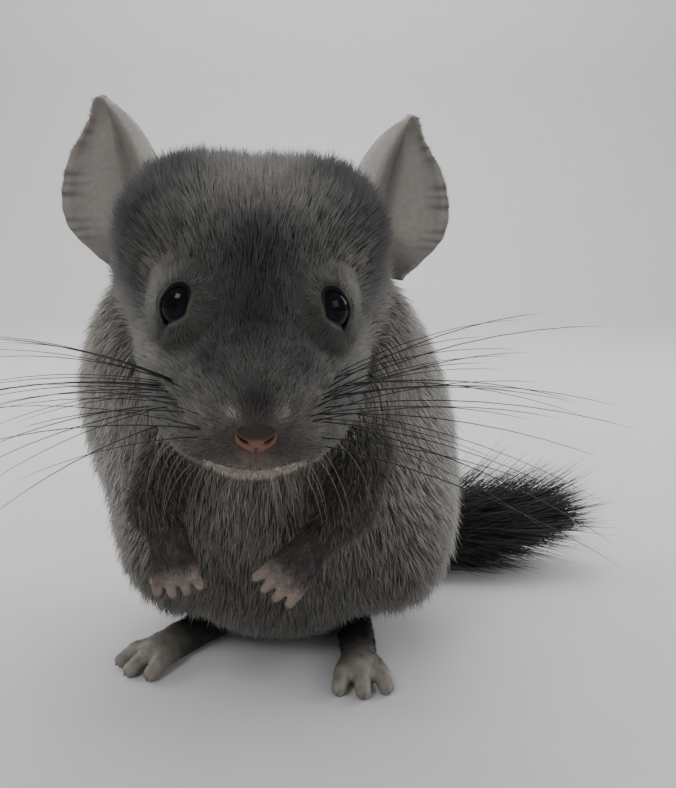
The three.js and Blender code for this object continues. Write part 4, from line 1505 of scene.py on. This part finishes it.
@dataclass
class Studio:
    """Camera, floor, backdrop and soft light."""

    width: int = 676
    height: int = 788
    focal_pixels: float = 850.0
    eye_point: tuple = (21.0, -280.0, 133.0)
    look_down: float = 10.0
    sensor: float = 36.0
    floor_end: float = 1200.0
    cove: float = 500.0
    wall_top: float = 2600.0

    def build(self) -> None:
        """Makes them all."""
        data = bpy.data.cameras.new("camera")
        data.sensor_fit = "AUTO"
        data.sensor_width = self.sensor
        data.lens = self.focal_pixels / max(self.width, self.height) * self.sensor
        data.clip_start, data.clip_end = 0.005, 20.0
        camera = bpy.data.objects.new("camera", data)
        camera.location = [x * MILLIMETRE for x in self.eye_point]
        camera.rotation_euler = (math.radians(90.0 - self.look_down), 0.0, 0.0)
        bpy.context.collection.objects.link(camera)
        bpy.context.scene.camera = camera
        self.ground()
        self.lamp("key", (-0.45, -0.85, 0.95), (0.0, -0.01, 0.08), 0.4, 5.0, (1.0, 0.99, 0.97))
        self.lamp("fill", (0.8, -0.7, 0.5), (0.0, -0.01, 0.08), 0.5, 2.0, (0.97, 0.98, 1.0))
        self.lamp("rim_left", (-0.8, 0.35, 0.45), (0.0, 0.0, 0.1), 0.5, 3.6, (1.0, 1.0, 1.0))
        self.lamp("rim_right", (0.8, 0.35, 0.5), (0.0, 0.0, 0.1), 0.5, 3.6, (1.0, 1.0, 1.0))
        self.lamp("wall", (0.0, 0.7, 1.6), (0.0, 1.9, 0.4), 1.2, 26.0, (1.0, 1.0, 1.0))
        world = bpy.data.worlds.new("studio")
        world.use_nodes = True
        shade = world.node_tree.nodes["Background"]
        shade.inputs["Color"].default_value = (0.78, 0.79, 0.8, 1.0)
        shade.inputs["Strength"].default_value = 0.6
        bpy.context.scene.world = world

    def lamp(self, name: str, at: tuple, to: tuple, size: float, watts: float, colour: tuple) -> None:
        """A soft square lamp that looks at a point."""
        data = bpy.data.lights.new(name, "AREA")
        data.size, data.energy, data.color = size, watts, colour
        lamp = bpy.data.objects.new(name, data)
        place = np.array(at)
        back = unit(place - np.array(to))
        side = unit(np.cross(UP, back))
        up = np.cross(back, side)
        rows = np.column_stack([side, up, back, place])
        lamp.matrix_world = Matrix([*rows.tolist(), [0.0, 0.0, 0.0, 1.0]])
        bpy.context.collection.objects.link(lamp)

    def ground(self) -> None:
        """A pale floor that runs back and curves up into the backdrop."""
        front, end, cove = np.linspace(-1500, self.floor_end, 24), self.floor_end, self.cove
        turn = np.linspace(0.07, 1.57, 16)
        y = np.concatenate([front, end + cove * np.sin(turn), [end + cove]])
        z = np.concatenate([np.zeros(len(front)), cove * (1 - np.cos(turn)), [self.wall_top]])
        x = np.linspace(-2500, 2500, 12)
        points = np.stack(np.broadcast_arrays(x, y[:, None], z[:, None]), -1).reshape(-1, 3)
        finish = Finish("pale_floor", 0.7, 0.3, 40.0, 0.03, 0.0, fixed=(0.62, 0.62, 0.63))
        floor = put_mesh("floor", points, grid_faces(len(y), len(x), ring=False), finish.material())


def main() -> None:
    """Builds every piece in order."""
    logging.basicConfig(level=logging.INFO, format="%(name)s: %(message)s")
    form = Form()
    rule = CoatRule(form)
    finishes = Finishes()
    Studio().build()
    Hide(form, rule, finishes).build()
    Nose(form, finishes).build()
    Mouth(form, rule, finishes).build()
    for side in Side:
        Eye(form, rule, finishes, side).build()
        Ear(form, rule, finishes, side).build()
        Whiskers(form, rule, finishes, side).build()
        hind_foot(form, rule, finishes, side).build()
        forepaw(form, rule, finishes, side).build()
        log.info("%s side made", side.word)
    Tail(form, rule, finishes).build()


if __name__ == "__main__":
    main()
